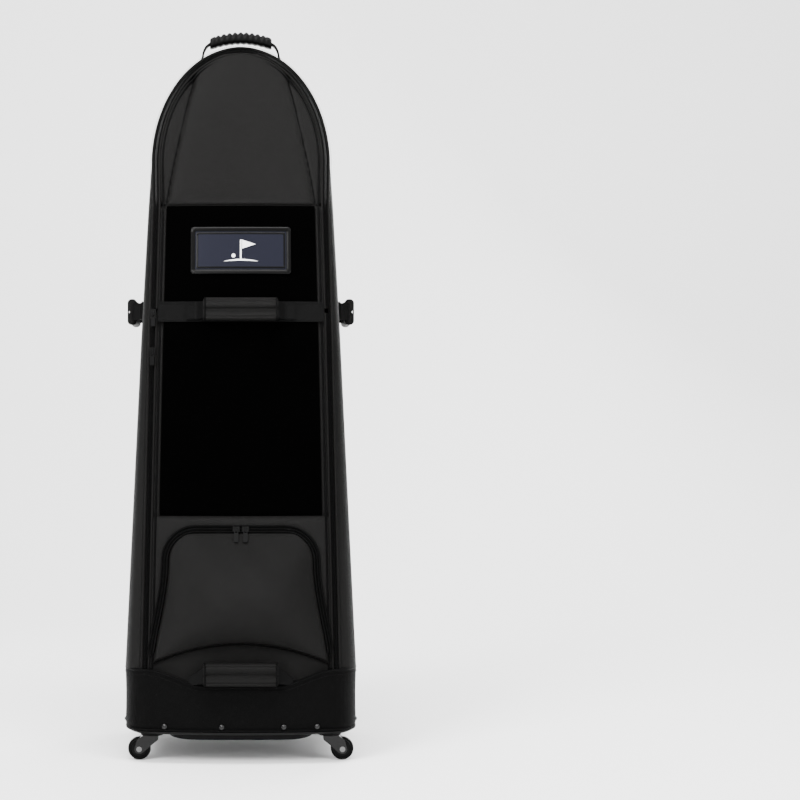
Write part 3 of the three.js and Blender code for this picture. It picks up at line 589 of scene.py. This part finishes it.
def make_front():
    split = BAND_Z
    low_levels = spread(8, BOOT_FRONT_TOP + 0.003, BOOT_TOP + 0.003)
    low_levels += spread(40, BOOT_TOP + 0.008, VELVET_FOOT - 0.0008)
    low_levels += spread(70, VELVET_FOOT, split)

    def low_edge(x):
        return boot_top(x) + 0.003

    def velvet_at(levels):
        def choose(r, c):
            z = (levels[r] + levels[r + 1]) / 2
            covered = FRONT_EDGE <= c < FRONT_COLUMNS - FRONT_EDGE
            return 1 if VELVET_FOOT < z < SEAM_Z - 0.001 and covered else 0
        return choose

    outside = front_grid(low_levels, low_edge, 0)
    inside = front_grid(low_levels, low_edge, DOOR)
    cloths = [SHELL, VELVET, LINING]
    lower = skin("front_lower_skin", outside, inside, cloths, None,
                 choose=velvet_at(low_levels))
    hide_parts("lower_front_panel", "fold_band_panel")
    before, after = bend_span(FOLD_Z, -0.117, -0.108)
    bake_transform(lower)
    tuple(before)
    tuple(after)

    height = DOME_HEIGHT - ZIP_INSET - DOOR_MARGIN
    top = [DOME_BASE + height * math.sin(a) for a in spread(90, 0.03, 1.535)]
    flap_levels = spread(44, split + 0.0005, SEAM_Z - 0.0008) + spread(32, SEAM_Z, DOME_BASE) + top
    outside = front_grid(flap_levels, None, 0)
    inside = front_grid(flap_levels, None, DOOR)
    flap = skin("front_flap_skin", outside, inside, cloths, None,
                choose=velvet_at(flap_levels))
    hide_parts("flap_lower_panel", "flap_dome_panel")
    # Dark cords along both dome creases: partly the real sewn seam, partly painted shade for the shadow line
    # in the crease.
    for label, side in (("left", -1), ("right", 1)):
        seam = [(side * x, z) for x, z in smooth_line(CREASE, 8)]
        line = [(x, door_y(x, z) + front_relief(x, z) - 0.0004, z) for x, z in seam]
        tube(f"dome_crease_shade_cord_{label}", line, 0.0015, TAPE, "flap")
    before, after = bend_span(CURL_Z, -0.100, -0.092)
    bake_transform(flap)
    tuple(before)
    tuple(after)


# ---------- zip lines and piping ----------
TOOTH = (0.0013, 0.0026, 0.0014)
TOOTH_PITCH = 0.0026
TAPE_THICK = 0.0012


def zip_arch(offset, low=BOOT_TOP, proud=0.0):
    """Points up the left of the zip line, over the dome and down the right."""
    straight = [(-(zip_half(z) + offset), z) for z in spread(120, low, DOME_BASE)]
    half, height = TOP_HALF - ZIP_INSET + offset, DOME_HEIGHT - ZIP_INSET + offset
    dome = [(-half * math.cos(a), DOME_BASE + height * math.sin(a)) for a in spread(70, 0.02, math.pi - 0.02)]
    path = straight + dome + [(-x, z) for x, z in reversed(straight)]
    return [(x, front_y(min(z, BODY_TOP - 0.008)) - proud, z) for x, z in path]


def between(path, low, high):
    left = [p for p in path if p[0] < 0 and low <= p[2] <= high]
    right = [p for p in path if p[0] > 0 and low <= p[2] <= high]
    return left, right


def tape(name, inner, outer, depth, body):
    grid = [[a, b] for a, b in zip(inner, outer)]
    near = [[(x, y, z) for x, y, z in row] for row in grid]
    far = [[(x, y + depth, z) for x, y, z in row] for row in grid]
    return skin(name, near, far, TAPE, body)


def make_main_zip():
    low = BOOT_FRONT_TOP + 0.022
    near, far = zip_arch(0.0004, low), zip_arch(0.0052, low, -0.0006)
    shell_tape = tape("zip_tape_shell", near, far, TAPE_THICK, "shell")
    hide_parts("main_zip_chain_left", "main_zip_chain_right", "main_zip_chain_upper")
    shell_row = zip_arch(0.0010, low, 0.0004)
    teeth("zip_teeth_shell", shell_row, 0.0, TOOTH, TOOTH_PITCH, COIL, "shell")
    tube("gusset_piping", zip_arch(0.0062, low, 0.0002), 0.0019, SHELL, "shell")
    stitches("gusset_stitches", zip_arch(0.0100, low + 0.01, -0.0002), "shell")
    inner_edge = zip_arch(-0.0050, low, 0.0)
    mid_edge = zip_arch(-0.0004, low, 0.0)
    tooth = zip_arch(-0.0010, low, 0.0004)
    cord = zip_arch(-0.0060, low, 0.0008)
    ridge = zip_arch(-0.0125, low, 0.0006)
    paths = (inner_edge, mid_edge, tooth, cord, ridge)
    spans = [("low", low, FOLD_Z + 0.05, ("shell", "fold_band", FOLD_Z)),
             ("high", FOLD_Z + 0.0501, 2.0, ("fold_band", "flap", CURL_Z))]
    for label, start, stop, (a, b, at) in spans:
        if label == "low":
            parts = list(zip(("left", "right"), *(between(path, start, stop) for path in paths)))
        else:
            whole = [[p for p in path if p[2] >= start] for path in paths]
            parts = [("arch", *whole)]
        for side, inner, middle, row, line, rib in parts:
            made = [
                tape(f"zip_tape_{label}_{side}", inner, middle, TAPE_THICK, None),
                teeth(f"zip_teeth_{label}_{side}", row, 0.0, TOOTH, TOOTH_PITCH, COIL, None),
                tube(f"door_piping_{label}_{side}", line, 0.0019, SHELL, None),
                tube(f"door_ridge_{label}_{side}", rib, 0.0017, PIPING, None),
            ]
            for each in made:
                depth = front_y(at)
                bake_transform(each)


# ---------- boot and tray ----------
def foot_loop(inset, height, half=0.203, front=-0.170, back=0.170, corners=(0.055, 0.050),
              bulge=0.010, steps=10):
    """Points round the foot of the case; height(x, y) gives each point's z."""
    fr, br = corners[0] - inset, corners[1] - inset
    half, front, back = half - inset, front + inset, back - inset
    edge = half - fr
    points = [(x, front - bulge * (1 - (x / edge) ** 2)) for x in spread(36, -edge, edge)]

    def corner(cx, cy, radius, start, first, last):
        for i in range(first, last + 1):
            turn = start + i / steps * math.pi / 2
            points.append((cx + radius * math.cos(turn), cy + radius * math.sin(turn)))

    corner(edge, front + fr, fr, -math.pi / 2, 1, steps)
    points.extend((half, y) for y in spread(24, front + fr, back - br)[1:-1])
    corner(half - br, back - br, br, 0, 0, steps)
    points.extend((x, back) for x in spread(24, half - br, -(half - br))[1:-1])
    corner(-(half - br), back - br, br, math.pi / 2, 0, steps)
    points.extend((-half, y) for y in spread(24, back - br, front + fr)[1:-1])
    corner(-edge, front + fr, fr, math.pi, 0, steps - 1)
    return [(x, y + SHIFT, height(x, y)) for x, y in points]


def rim_z(x, y):
    return boot_top(x) if y < 0 else BOOT_TOP


def boot_sag(t):
    return 0.0012 * math.sin(math.pi * t)


def make_boot():
    outer, inner = [], []
    for t in [0.0, 0.03, 0.07] + spread(14, 0.14, 0.93) + [0.97, 1.0]:
        inset = 0.003 * (1 - smooth(t / 0.10)) + 0.0008 + boot_sag(t)

        def height(x, y, t=t):
            return mix(BOOT_FOOT, rim_z(x, y), t)
        outer.append(foot_loop(inset, height))
        inner.append(foot_loop(WALL, height))
    boot = skin("boot_skin", outer, inner, [BOOT, LINING], "shell", ring=True)
    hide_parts("boot_band")
    rim = foot_loop(0.0030, lambda x, y: rim_z(x, y) + 0.0004)
    tube("boot_piping", rim, 0.0028, PIPING, "shell", up=(0, 0, 1), closed=True)
    row = foot_loop(0.0004, lambda x, y: rim_z(x, y) - 0.007)
    stitches("boot_stitches", row, "shell", up=(0, 0, 1))
    hem = foot_loop(0.0035, lambda x, y: BOOT_FOOT + 0.0022)
    tube("boot_hem", hem, 0.0021, PIPING, "shell", up=(0, 0, 1), closed=True)


def make_rivets():
    outline = foot_loop(0.0006, lambda x, y: BOOT_FOOT + 0.009)

    def nearest(x, y):
        return min(range(len(outline)), key=lambda i: math.hypot(outline[i][0] - x, outline[i][1] - y))

    spots = [(x, case_y(-0.175)) for x in (-0.132, -0.030, 0.073, 0.135)]
    spots += [(side * 0.203, case_y(y)) for side in (-1, 1) for y in (-0.095, -0.035, 0.030, 0.100)]
    spots += [(x, BACK) for x in (-0.130, -0.045, 0.045, 0.130)]
    for number, spot in enumerate(spots):
        i = nearest(*spot)
        here = Vector(outline[i])
        along = (Vector(outline[(i + 1) % len(outline)]) - Vector(outline[i - 1])).normalized()
        out = along.cross(Vector((0, 0, 1))).normalized()
        up = Vector((0, 0, 1))
        loops = []
        for radius, lift in ((0.0042, -0.0010), (0.0042, 0.0006), (0.0030, 0.0012), (0.0026, 0.0019),
                             (0.0016, 0.0025), (0.0005, 0.0027)):
            turns = [2 * math.pi * k / 16 for k in range(16)]
            middle = here + out * lift
            loops.append([middle + radius * (math.cos(t) * along + math.sin(t) * up) for t in turns])
        loft(f"rivet_{number:02d}", loops, RIVET, "shell")


def make_tray():
    def flat(z):
        return lambda x, y: z

    def belly(half, depth, radius, z):
        return foot_loop(0.0, flat(z), half=half, front=-depth, back=depth,
                         corners=(radius, radius), bulge=0.002)

    loops = [
        belly(0.122, 0.137, 0.047, 0.0362), belly(0.1245, 0.1395, 0.0495, 0.0370),
        belly(0.139, 0.1485, 0.058, 0.0485),
        belly(0.143, 0.152, 0.062, 0.0500), foot_loop(0.014, flat(0.0500)), foot_loop(0.0105, flat(0.0512)),
        foot_loop(0.0030, flat(0.0553)), foot_loop(0.0020, flat(0.0563)), foot_loop(0.0040, flat(0.0566)),
        foot_loop(0.0106, flat(0.0566)), foot_loop(0.0106, flat(0.085)), foot_loop(0.014, flat(0.085)),
        foot_loop(0.014, flat(0.058)),
    ]
    tray = loft("tray_shell", loops, TRAY, "shell")
    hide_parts("base_tray")
    for number, x in enumerate(spread(6, -0.09, 0.09)):
        section = ((-0.002, 0.0364), (-0.0012, 0.0350), (0.0012, 0.0350), (0.002, 0.0364))
        ribs = [[(x + dx, case_y(y), z) for dx, z in section] for y in (-0.112, 0.112)]
        loft(f"tray_rib_{number}", ribs, TRAY, "shell")
    pad = loft("floor_lining", [foot_loop(0.0155, flat(0.0586)), foot_loop(0.0150, flat(0.0620)),
                                foot_loop(0.0158, flat(0.0652)), foot_loop(0.018, flat(0.0660))],
               LINING, "shell")
    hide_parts("floor_pad")


# ---------- shoe pocket ----------
POCKET_CORNER = 0.050
POCKET_HALF, POCKET_FOOT_HALF, POCKET_FOOT = 0.127, 0.152, 0.172


def pocket_half(z):
    corner_z = POCKET_TOP - POCKET_CORNER
    if z <= corner_z:
        return mix(POCKET_FOOT_HALF, POCKET_HALF, smooth((z - POCKET_FOOT) / (corner_z - POCKET_FOOT)) ** 0.8)
    rise = min(1.0, (z - corner_z) / POCKET_CORNER)
    return POCKET_HALF - POCKET_CORNER + POCKET_CORNER * math.sqrt(1 - rise * rise)


def pocket_foot(u):
    return 0.207 - 0.034 * u * u


def pocket_stand(u, v, edge):
    """How far the pocket stands off the front: full low down, shallow at its top."""
    swell = math.sin(math.pi * clamp01(v) ** 0.72) ** 0.85
    wrinkle = 0.0008 * math.sin(9 * u + 14 * v) * math.sin(5 * v + 3 * u)
    body = 0.0060 + (0.034 * swell + wrinkle) * (1 - abs(u) ** 3.2)
    return 0.0006 + body * smooth(edge / 0.005) ** 0.5


def make_pocket():
    columns = [math.sin(t * math.pi / 2) for t in spread(64, -1, 1)]
    levels = [0.5 - 0.5 * math.cos(t * math.pi) for t in spread(60)]
    face, back = [], []
    for v in levels:
        row, under = [], []
        for u in columns:
            z = mix(pocket_foot(u), POCKET_TOP, v)
            half = pocket_half(z)
            x = u * half
            edge = min((1 - abs(u)) * half, (1 - v) * 0.2, v * 0.19)
            y = door_y(x, z) - pocket_stand(u, v, edge)
            row.append((x, y, z))
            under.append((x, min(y + 0.0025, door_y(x, z) - 0.0003), z))
        face.append(row)
        back.append(under)
    cover = skin("pocket_skin", face, back, [SHELL, LINING], None)
    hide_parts("pocket_cover")
    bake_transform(cover)

    def arch(offset, proud, low=POCKET_FOOT + 0.012):
        corner_z = POCKET_TOP - POCKET_CORNER
        radius = POCKET_CORNER + offset
        side = [(pocket_half(z) + offset, z) for z in spread(40, low, corner_z)]
        turn = [(POCKET_HALF - POCKET_CORNER + radius * math.cos(a), corner_z + radius * math.sin(a))
                for a in spread(16, 0.05, math.pi / 2)]
        top = [(x, corner_z + radius) for x in spread(14, POCKET_HALF - POCKET_CORNER - 0.004, 0.0)]
        half = side + turn + top
        path = half + [(-x, z) for x, z in reversed(half[:-1])]
        return [(x, door_y(x, z) - proud, z) for x, z in path]

    ribbon = tape("pocket_zip_tape", arch(0.0020, 0.0012), arch(0.0090, 0.0012), 0.0010, "shell")
    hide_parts("pocket_zip_chain")
    wide_tooth = (0.0013, 0.0036, 0.0014)
    teeth("pocket_zip_teeth", arch(0.0055, 0.0014), 0.0, wide_tooth, TOOTH_PITCH, COIL, "shell")
    tube("pocket_zip_piping", arch(0.0100, 0.0012), 0.0017, PIPING, "shell")
    rim = arch(0.0004, 0.0052, POCKET_FOOT + 0.020)
    edge = tube("pocket_edge_piping", rim, 0.0017, PIPING, None)
    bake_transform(edge)
    foot = [(u * pocket_half(pocket_foot(u)), u) for u in spread(50, -1, 1)]
    seam = [(x, door_y(x, pocket_foot(u)) - 0.0016, pocket_foot(u) - 0.0005) for x, u in foot]
    tube("pocket_foot_piping", seam, 0.0019, PIPING, "shell")


# ---------- webbing handles ----------
def ribbon_grid(path, width, across):
    across = Vector(across)
    return [[tuple(Vector(p) + across * width * s) for s in spread(8, -0.5, 0.5)] for p in path]


def strap_tail(name, start, end, out, across, width, lift):
    """Half of a handle's strap, from its sewn foot up into the wrap."""
    start, end, out = Vector(start), Vector(end), Vector(out)
    path = []
    for t in spread(26):
        rise = mix(lift[0], lift[1], smooth((t - 0.42) / 0.50))
        path.append(start.lerp(end, t) + out * rise)
    upper = ribbon_grid([p + out * 0.0012 for p in path], width, across)
    under = ribbon_grid([p - out * 0.0012 for p in path], width, across)
    tail = skin(name, upper, under, WEBBING, None)
    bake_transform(tail)
    lines = []
    for s in (-0.42, 0.42):
        lines.append([p + out * 0.0013 + Vector(across) * width * s for p in path[1:11]])
    for number, line in enumerate(lines):
        sewn = stitches(f"{name}_stitch_{number}", line, None, up=tuple(out), pitch=0.0035)
        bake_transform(sewn)
    return tail


def wrap_piece(name, middle, along, out, half, height, thick, body, node):
    """A padded wrap folded round a strap: a soft tube with a closing seam down its face."""
    middle, along, out = Vector(middle), Vector(along), Vector(out)
    side = along.cross(out).normalized()
    full = fine_box(height, thick, min(thick * 0.42, 0.0062))
    loops = []
    for t in spread(44, -1, 1):
        end = clamp01((1 - abs(t)) / 0.07)
        swell = 0.86 + 0.14 * math.sqrt(1 - (1 - end) ** 2)
        loop = []
        for a, b in full:
            crease = 0.0
            if b > 0:
                crease = 0.0030 * math.exp(-abs(a) / 0.0030)
                crease += 0.0010 * math.exp(-((abs(a) - height * 0.36) / 0.0016) ** 2)
            loop.append(middle + along * half * t + side * a * swell + out * (b * swell - crease))
        loops.append(loop)
    piece = loft(name, loops, WRAP, body)
    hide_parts(node)
    for label, t in (("a", -0.955), ("b", 0.955)):
        ring = [middle + along * half * t + side * a + out * b
                for a, b in round_box(height * 0.985, thick * 0.985, min(thick * 0.42, 0.0062), corner=5)]
        tube(f"{name}_binding_{label}", ring, 0.0013, PIPING, body, up=tuple(along), closed=True)
    for label, a in (("a", 0.0045), ("b", -0.0045)):
        height_out = out * (thick / 2 - 0.0001)
        line = [middle + along * half * t + side * a + height_out for t in spread(20, -0.9, 0.9)]
        stitches(f"{name}_stitch_{label}", line, body, up=tuple(out))
    return piece


def make_handles():
    def band(z, proud):
        return [(x, door_y(x, z) - proud, z) for x in spread(40, -1, 1) for x in [x * (zip_half(z) - 0.008)]]

    grid = [band(z, 0.0024) for z in spread(8, BAND_Z - 0.018, BAND_Z + 0.018)]
    under = [band(z, 0.0002) for z in spread(8, BAND_Z - 0.018, BAND_Z + 0.018)]
    cross = skin("band_webbing", grid, under, WEBBING, "fold_band")
    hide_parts("handle_webbing")
    for label, z in (("low", BAND_Z - 0.0155), ("high", BAND_Z + 0.0155)):
        stitches(f"band_stitches_{label}", band(z, 0.0025), "fold_band")

    lean = math.atan2(0.050, 0.240)
    out = Vector((0, -math.cos(lean), math.sin(lean)))
    up = Vector((0, math.sin(lean), math.cos(lean)))
    face = Vector((0, door_y(0, BAND_Z), BAND_Z))
    for label, sign in (("left", -1), ("right", 1)):
        start = face + Vector((sign * 0.0955, 0.0024, 0))
        end = face + Vector((sign * 0.060, 0, 0))
        tail = strap_tail(f"mid_strap_{label}", start, end, out, up, 0.030, (0.0028, 0.0170))
        if sign < 0:
            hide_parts("mid_handle_strap")
    wrap_piece("mid_wrap", face + out * 0.0185, (1, 0, 0), out, 0.0655, 0.041, 0.0125,
               "mid_handle", "mid_handle_wrap")

    for label, sign in (("left", -1), ("right", 1)):
        x = sign * outer_half(SIDE_HANDLE_Z)
        middle = Vector((x, case_y(0.043), SIDE_HANDLE_Z))
        out = Vector((sign, 0, 0))
        base = [[tuple(middle + out * 0.0030 + Vector((0, dy, dz))) for dz in spread(8, -0.017, 0.017)]
                for dy in spread(30, -0.103, 0.103)]
        base_under = [[(p[0] - sign * 0.0022, p[1], p[2]) for p in row] for row in base]
        strip = skin(f"{label}_base_webbing", base, base_under, WEBBING, "shell")
        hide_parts(f"{label}_handle_base")
        for end_label, way in (("front", -1), ("rear", 1)):
            start = middle + Vector((0, way * 0.098, 0))
            end = middle + Vector((0, way * 0.060, 0))
            tail = strap_tail(f"{label}_strap_{end_label}", start, end, out, (0, 0, 1), 0.030,
                              (0.0044, 0.0210))
            if way < 0:
                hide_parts(f"{label}_handle_strap")
        wrap_piece(f"{label}_wrap", middle + out * 0.0222, (0, 1, 0), out, 0.0645, 0.045, 0.0145,
                   f"{label}_handle", f"{label}_handle_wrap")

    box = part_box("bottom_handle_wrap")
    middle = Vector([(box[0][i] + box[1][i]) / 2 for i in range(3)])
    out = Vector((0, -1, 0))
    for label, sign in (("left", -1), ("right", 1)):
        foot = Vector((sign * 0.090, -0.1735 + SHIFT, 0.1435))
        neck = middle + Vector((sign * 0.058, 0.001, 0))
        path = [foot.lerp(neck, smooth(t)) for t in spread(20)]
        widths = [mix(0.013, 0.030, smooth(t)) for t in spread(20)]
        over = [[tuple(p + Vector((0, -0.0012, 0)) + Vector((0, 0, 1)) * w * s) for s in spread(8, -0.5, 0.5)]
                for p, w in zip(path, widths)]
        back = [[(x, y + 0.0024, z) for x, y, z in row] for row in over]
        tail = skin(f"bottom_strap_{label}", over, back, WEBBING, None)
        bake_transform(tail)
        if sign < 0:
            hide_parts("bottom_handle_strap")
    wrap_piece("bottom_wrap", middle, (1, 0, 0), out, 0.0645, 0.040, 0.0125,
               "bottom_handle", "bottom_handle_wrap")


# ---------- top handle ----------
def grip_z(x):
    return 1.312 - 0.011 * (x / 0.058) ** 2


def make_top_handle():
    y = case_y(0.138)
    loops = []
    for x in spread(150, -0.0585, 0.0585):
        end = clamp01((0.0585 - abs(x)) / 0.007)
        size = 0.74 + 0.26 * math.sqrt(1 - (1 - end) ** 2)
        rib = 0.5 + 0.5 * math.cos(2 * math.pi * x / 0.0108)
        near = smooth((0.0500 - abs(x)) / 0.004)
        loop = []
        for a, b in round_box(0.0265 * size, 0.0205 * size, 0.0080 * size, corner=6):
            top = smooth((b + 0.002) / 0.008)
            cut = 0.0034 * near * top * (1 - rib ** 0.6) + 0.0012 * near * (1 - rib) * (1 - top)
            loop.append((x, y + a * (1 - cut / 0.030), grip_z(x) + b - cut + 0.0005 * near))
        loops.append(loop)
    grip = loft("grip_rubber_moulding", loops, GRIP, "top_handle", sharp=55)
    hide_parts("top_handle_grip")
    for label, sign in (("left", -1), ("right", 1)):
        foot_x = 0.0735
        foot_z = DOME_BASE + DOME_HEIGHT * math.sqrt(1 - (foot_x / TOP_HALF) ** 2)
        rise = ((0.010, -0.012), (0.004, -0.0015), (-0.0005, 0.0080), (-0.0030, 0.0200), (-0.0080, 0.0300))
        line = [(foot_x + dx, foot_z + dz) for dx, dz in rise] + [(0.0580, 1.3008), (0.050, 1.3038)]
        path = [Vector((sign * px, y, pz)) for px, pz in smooth_line(line, 6)]
        loops = []
        for i, point in enumerate(path):
            along = (path[min(i + 1, len(path) - 1)] - path[max(i - 1, 0)]).normalized()
            normal = along.cross(Vector((0, 1, 0))).normalized()
            section = round_box(0.020, 0.0032, 0.0012, corner=2)
            ring = [point + normal * b + Vector((0, a, 0)) for a, b in section]
            loops.append(ring)
        bail = loft(f"bail_strap_{label}", loops, WEBBING, None)
        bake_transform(bail)
        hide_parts("top_handle_bail" if sign < 0 else "top_handle_anchor_right")
        if sign < 0:
            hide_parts("top_handle_anchor_left")
        slope = math.atan2(DOME_HEIGHT ** 2 * foot_x, TOP_HALF ** 2 * (foot_z - DOME_BASE))
        turn = Matrix.Rotation(sign * slope, 3, "Y")
        centre = Vector((sign * 0.071, y, foot_z + 0.0012))
        widths = spread(8, -0.0135, 0.0135)
        patch = [[tuple(centre + turn @ Vector((a, b, 0.0022 - 6 * a * a))) for b in widths]
                 for a in spread(10, -0.012, 0.015)]
        under = [[(px, py, pz - 0.0028) for px, py, pz in row] for row in patch]
        skin(f"bail_patch_{label}", patch, under, WEBBING, "shell")


def smooth_line(points, cuts):
    """A Catmull-Rom curve through 2D points."""
    ends = [points[0]] + list(points) + [points[-1]]
    curve = []
    for i in range(1, len(ends) - 2):
        p0, p1, p2, p3 = ends[i - 1:i + 3]
        for t in spread(cuts)[:-1]:
            curve.append(tuple(0.5 * (2 * p1[k] + (p2[k] - p0[k]) * t
                                      + (2 * p0[k] - 5 * p1[k] + 4 * p2[k] - p3[k]) * t * t
                                      + (3 * p1[k] - p0[k] - 3 * p2[k] + p3[k]) * t ** 3) for k in range(2)))
    curve.append(points[-1])
    return curve


# ---------- name window ----------
def make_window():
    low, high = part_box("id_window_frame")[0][2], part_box("id_window_frame")[1][2]
    half, middle = 0.089, (low + high) / 2
    tall = (high - low) / 2

    def loop(inset, proud):
        radius = max(0.0012, 0.005 - inset * 0.5)
        points = round_box(2 * (half - inset), 2 * (tall - inset), radius, corner=4)
        path = []
        for (ax, az), (bx, bz) in zip(points, points[1:] + points[:1]):
            cuts = max(1, round(math.hypot(bx - ax, bz - az) / 0.008))
            path += [(mix(ax, bx, k / cuts), mix(az, bz, k / cuts)) for k in range(cuts)]
        return [(x, door_y(x, middle + z) - proud, middle + z) for x, z in path]

    profile = [(0.0, 0.0003), (0.0002, 0.0022), (0.0012, 0.0031), (0.0060, 0.0031), (0.0068, 0.0026),
               (0.0080, 0.0024), (0.0082, 0.0003)]
    rings = [loop(inset, proud) for inset, proud in profile]
    rings = [resample(r, 200) for r in rings]
    border = loft("window_border", rings, WINDOW, "flap", closed=True)
    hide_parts("id_window_frame")

    def sheet(inset, proud, columns=24, rows=6):
        return [[(x, door_y(x, z) - proud, z) for x in spread(columns, -half + inset, half - inset)]
                for z in spread(rows, low + inset, high - inset)]

    front, back = sheet(0.0084, 0.0016), sheet(0.0084, 0.0003)
    card = skin("window_card_sheet", front, back, CARD, "flap")
    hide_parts("id_window_insert")
    bezel = [loop(0.0100, 0.0019), loop(0.0104, 0.0021), loop(0.0130, 0.0021), loop(0.0134, 0.0017)]
    loft("window_bezel", [resample(r, 200) for r in bezel], WINDOW, "flap", closed=True)

    def mark(name, outline):
        near = [(x, door_y(x, middle + z) - 0.0021, middle + z) for x, z in outline]
        far = [(x, door_y(x, middle + z) - 0.0016, middle + z) for x, z in outline]
        loft(name, [near, far], MARK, "flap")

    mark("mark_pole", [(-0.0013, -0.018), (0.0013, -0.018), (0.0013, 0.019), (-0.0013, 0.019)])
    mark("mark_flag", [(0.0022, 0.019), (0.0022, 0.003), (0.026, 0.011)])
    green = [(x, -0.018 - 0.0016 + 0.004 * (1 - (x / 0.030) ** 2)) for x in spread(14, -0.030, 0.030)]
    under = [(x, z - 0.0030 * (1 - (x / 0.031) ** 2)) for x, z in reversed(green)]
    mark("mark_green", green + under)
    turns = spread(20, 0, 2 * math.pi)[:-1]
    ball = [(-0.013 + 0.0034 * math.cos(t), -0.0095 + 0.0034 * math.sin(t)) for t in turns]
    mark("mark_ball", ball)


def resample(loop, count):
    """The same closed loop as a fixed number of evenly spaced points."""
    points = [Vector(p) for p in loop] + [Vector(loop[0])]
    lengths = [(b - a).length for a, b in zip(points, points[1:])]
    total, result, segment, gone = sum(lengths), [], 0, 0.0
    for i in range(count):
        target = total * i / count
        while gone + lengths[segment] < target:
            gone += lengths[segment]
            segment += 1
        result.append(points[segment].lerp(points[segment + 1], (target - gone) / lengths[segment]))
    return result


# ---------- inner pocket of the flap ----------
def make_inner_pocket():
    low, margin = 0.986, 0.028

    def half_at(z):
        return max(0.012, zip_half(z) - margin)

    top_z = DOME_BASE + (DOME_HEIGHT - ZIP_INSET - margin) * 0.992
    grid, under = [], []
    for v in spread(70):
        z = mix(low, top_z, v)
        row, rear = [], []
        for t in spread(72, -1, 1):
            x = t * half_at(z)
            edge = min((1 - abs(t)) * half_at(z), (1 - v) * 0.26) / 0.02
            drift = noise.noise(Vector((9 * x, 11 * z, 0.4)))
            fold = 1.6 * noise.noise(Vector((38 * x + 3 * drift, 9 * z, 5.1)))
            fold += 0.9 * noise.noise(Vector((26 * x + 22 * z, 24 * z - 14 * x, 2.3)))
            gather = mix(0.25, 1.0, smooth(v / 0.7))
            deep = (0.0026 + 0.0018 * gather * fold + 0.0006 * math.sin(23 * t - 11 * v)) * smooth(edge)
            y = door_y(x, z) + DOOR + 0.0012 + max(0.0002, 0.0030 * smooth(edge) + deep)
            row.append((x, y, z))
            rear.append((x, y - 0.0006, z))
        grid.append(row)
        under.append(rear)
    pocket = skin("inner_pocket_sheet", grid, under, NYLON, "flap")
    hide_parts("flap_inner_pocket")
    outline = [(-half_at(z), z) for z in spread(40, low, top_z)]
    outline += [(half_at(z), z) for z in spread(40, top_z, low)]
    rim = [(x, door_y(x, z) + DOOR + 0.0018, z) for x, z in outline]
    tube("inner_pocket_binding", rim, 0.0019, PIPING, "flap", up=(0, 1, 0))
    hem = [(x, door_y(x, low) + DOOR + 0.0040, low) for x in spread(30, -half_at(low), half_at(low))]
    tube("inner_pocket_hem", hem, 0.0024, PIPING, "flap", up=(0, 1, 0))


# ---------- casters ----------
def make_casters():
    for where in ("front_left", "front_right", "rear_left", "rear_right"):
        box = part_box(f"caster_wheel_{where}")
        centre = Vector([(box[0][i] + box[1][i]) / 2 for i in range(3)])
        flank = [(0.0032, 0.0052), (0.0078, 0.0052), (0.0086, 0.0036), (0.0150, 0.0036), (0.0158, 0.0060),
                 (0.0178, 0.0064), (0.0190, 0.0058), (0.0197, 0.0040), (0.01995, 0.0015)]
        profile = [(r, -h) for r, h in flank] + flank[::-1]
        loops = []
        for turn in [2 * math.pi * k / 64 for k in range(64)]:
            loops.append([centre + Vector((r * math.cos(turn), h, r * math.sin(turn))) for r, h in profile])
        wheel = loft(f"wheel_tread_{where}", loops, TREAD, f"wheel_{where}", closed=True)
        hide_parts(f"caster_wheel_{where}")


def finish_nodes():
    """Better finishes on the nodes that keep their own shape."""
    finishes = {"caster_fork": CASTER, "caster_axle": STEEL, "caster_socket": TRAY,
                "slider": PULL, "puller": PULL}
    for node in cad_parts:
        thing = bpy.data.objects.get(node) if isinstance(node, str) else None
        for part, finish in finishes.items():
            if thing and part in node:
                for slot in thing.material_slots:
                    slot.material = finish


add_camera()
add_stage()
make_gusset()
make_back()
make_front()
make_main_zip()
make_boot()
make_rivets()
make_tray()
make_pocket()
make_handles()
make_top_handle()
make_window()
make_inner_pocket()
make_casters()
finish_nodes()
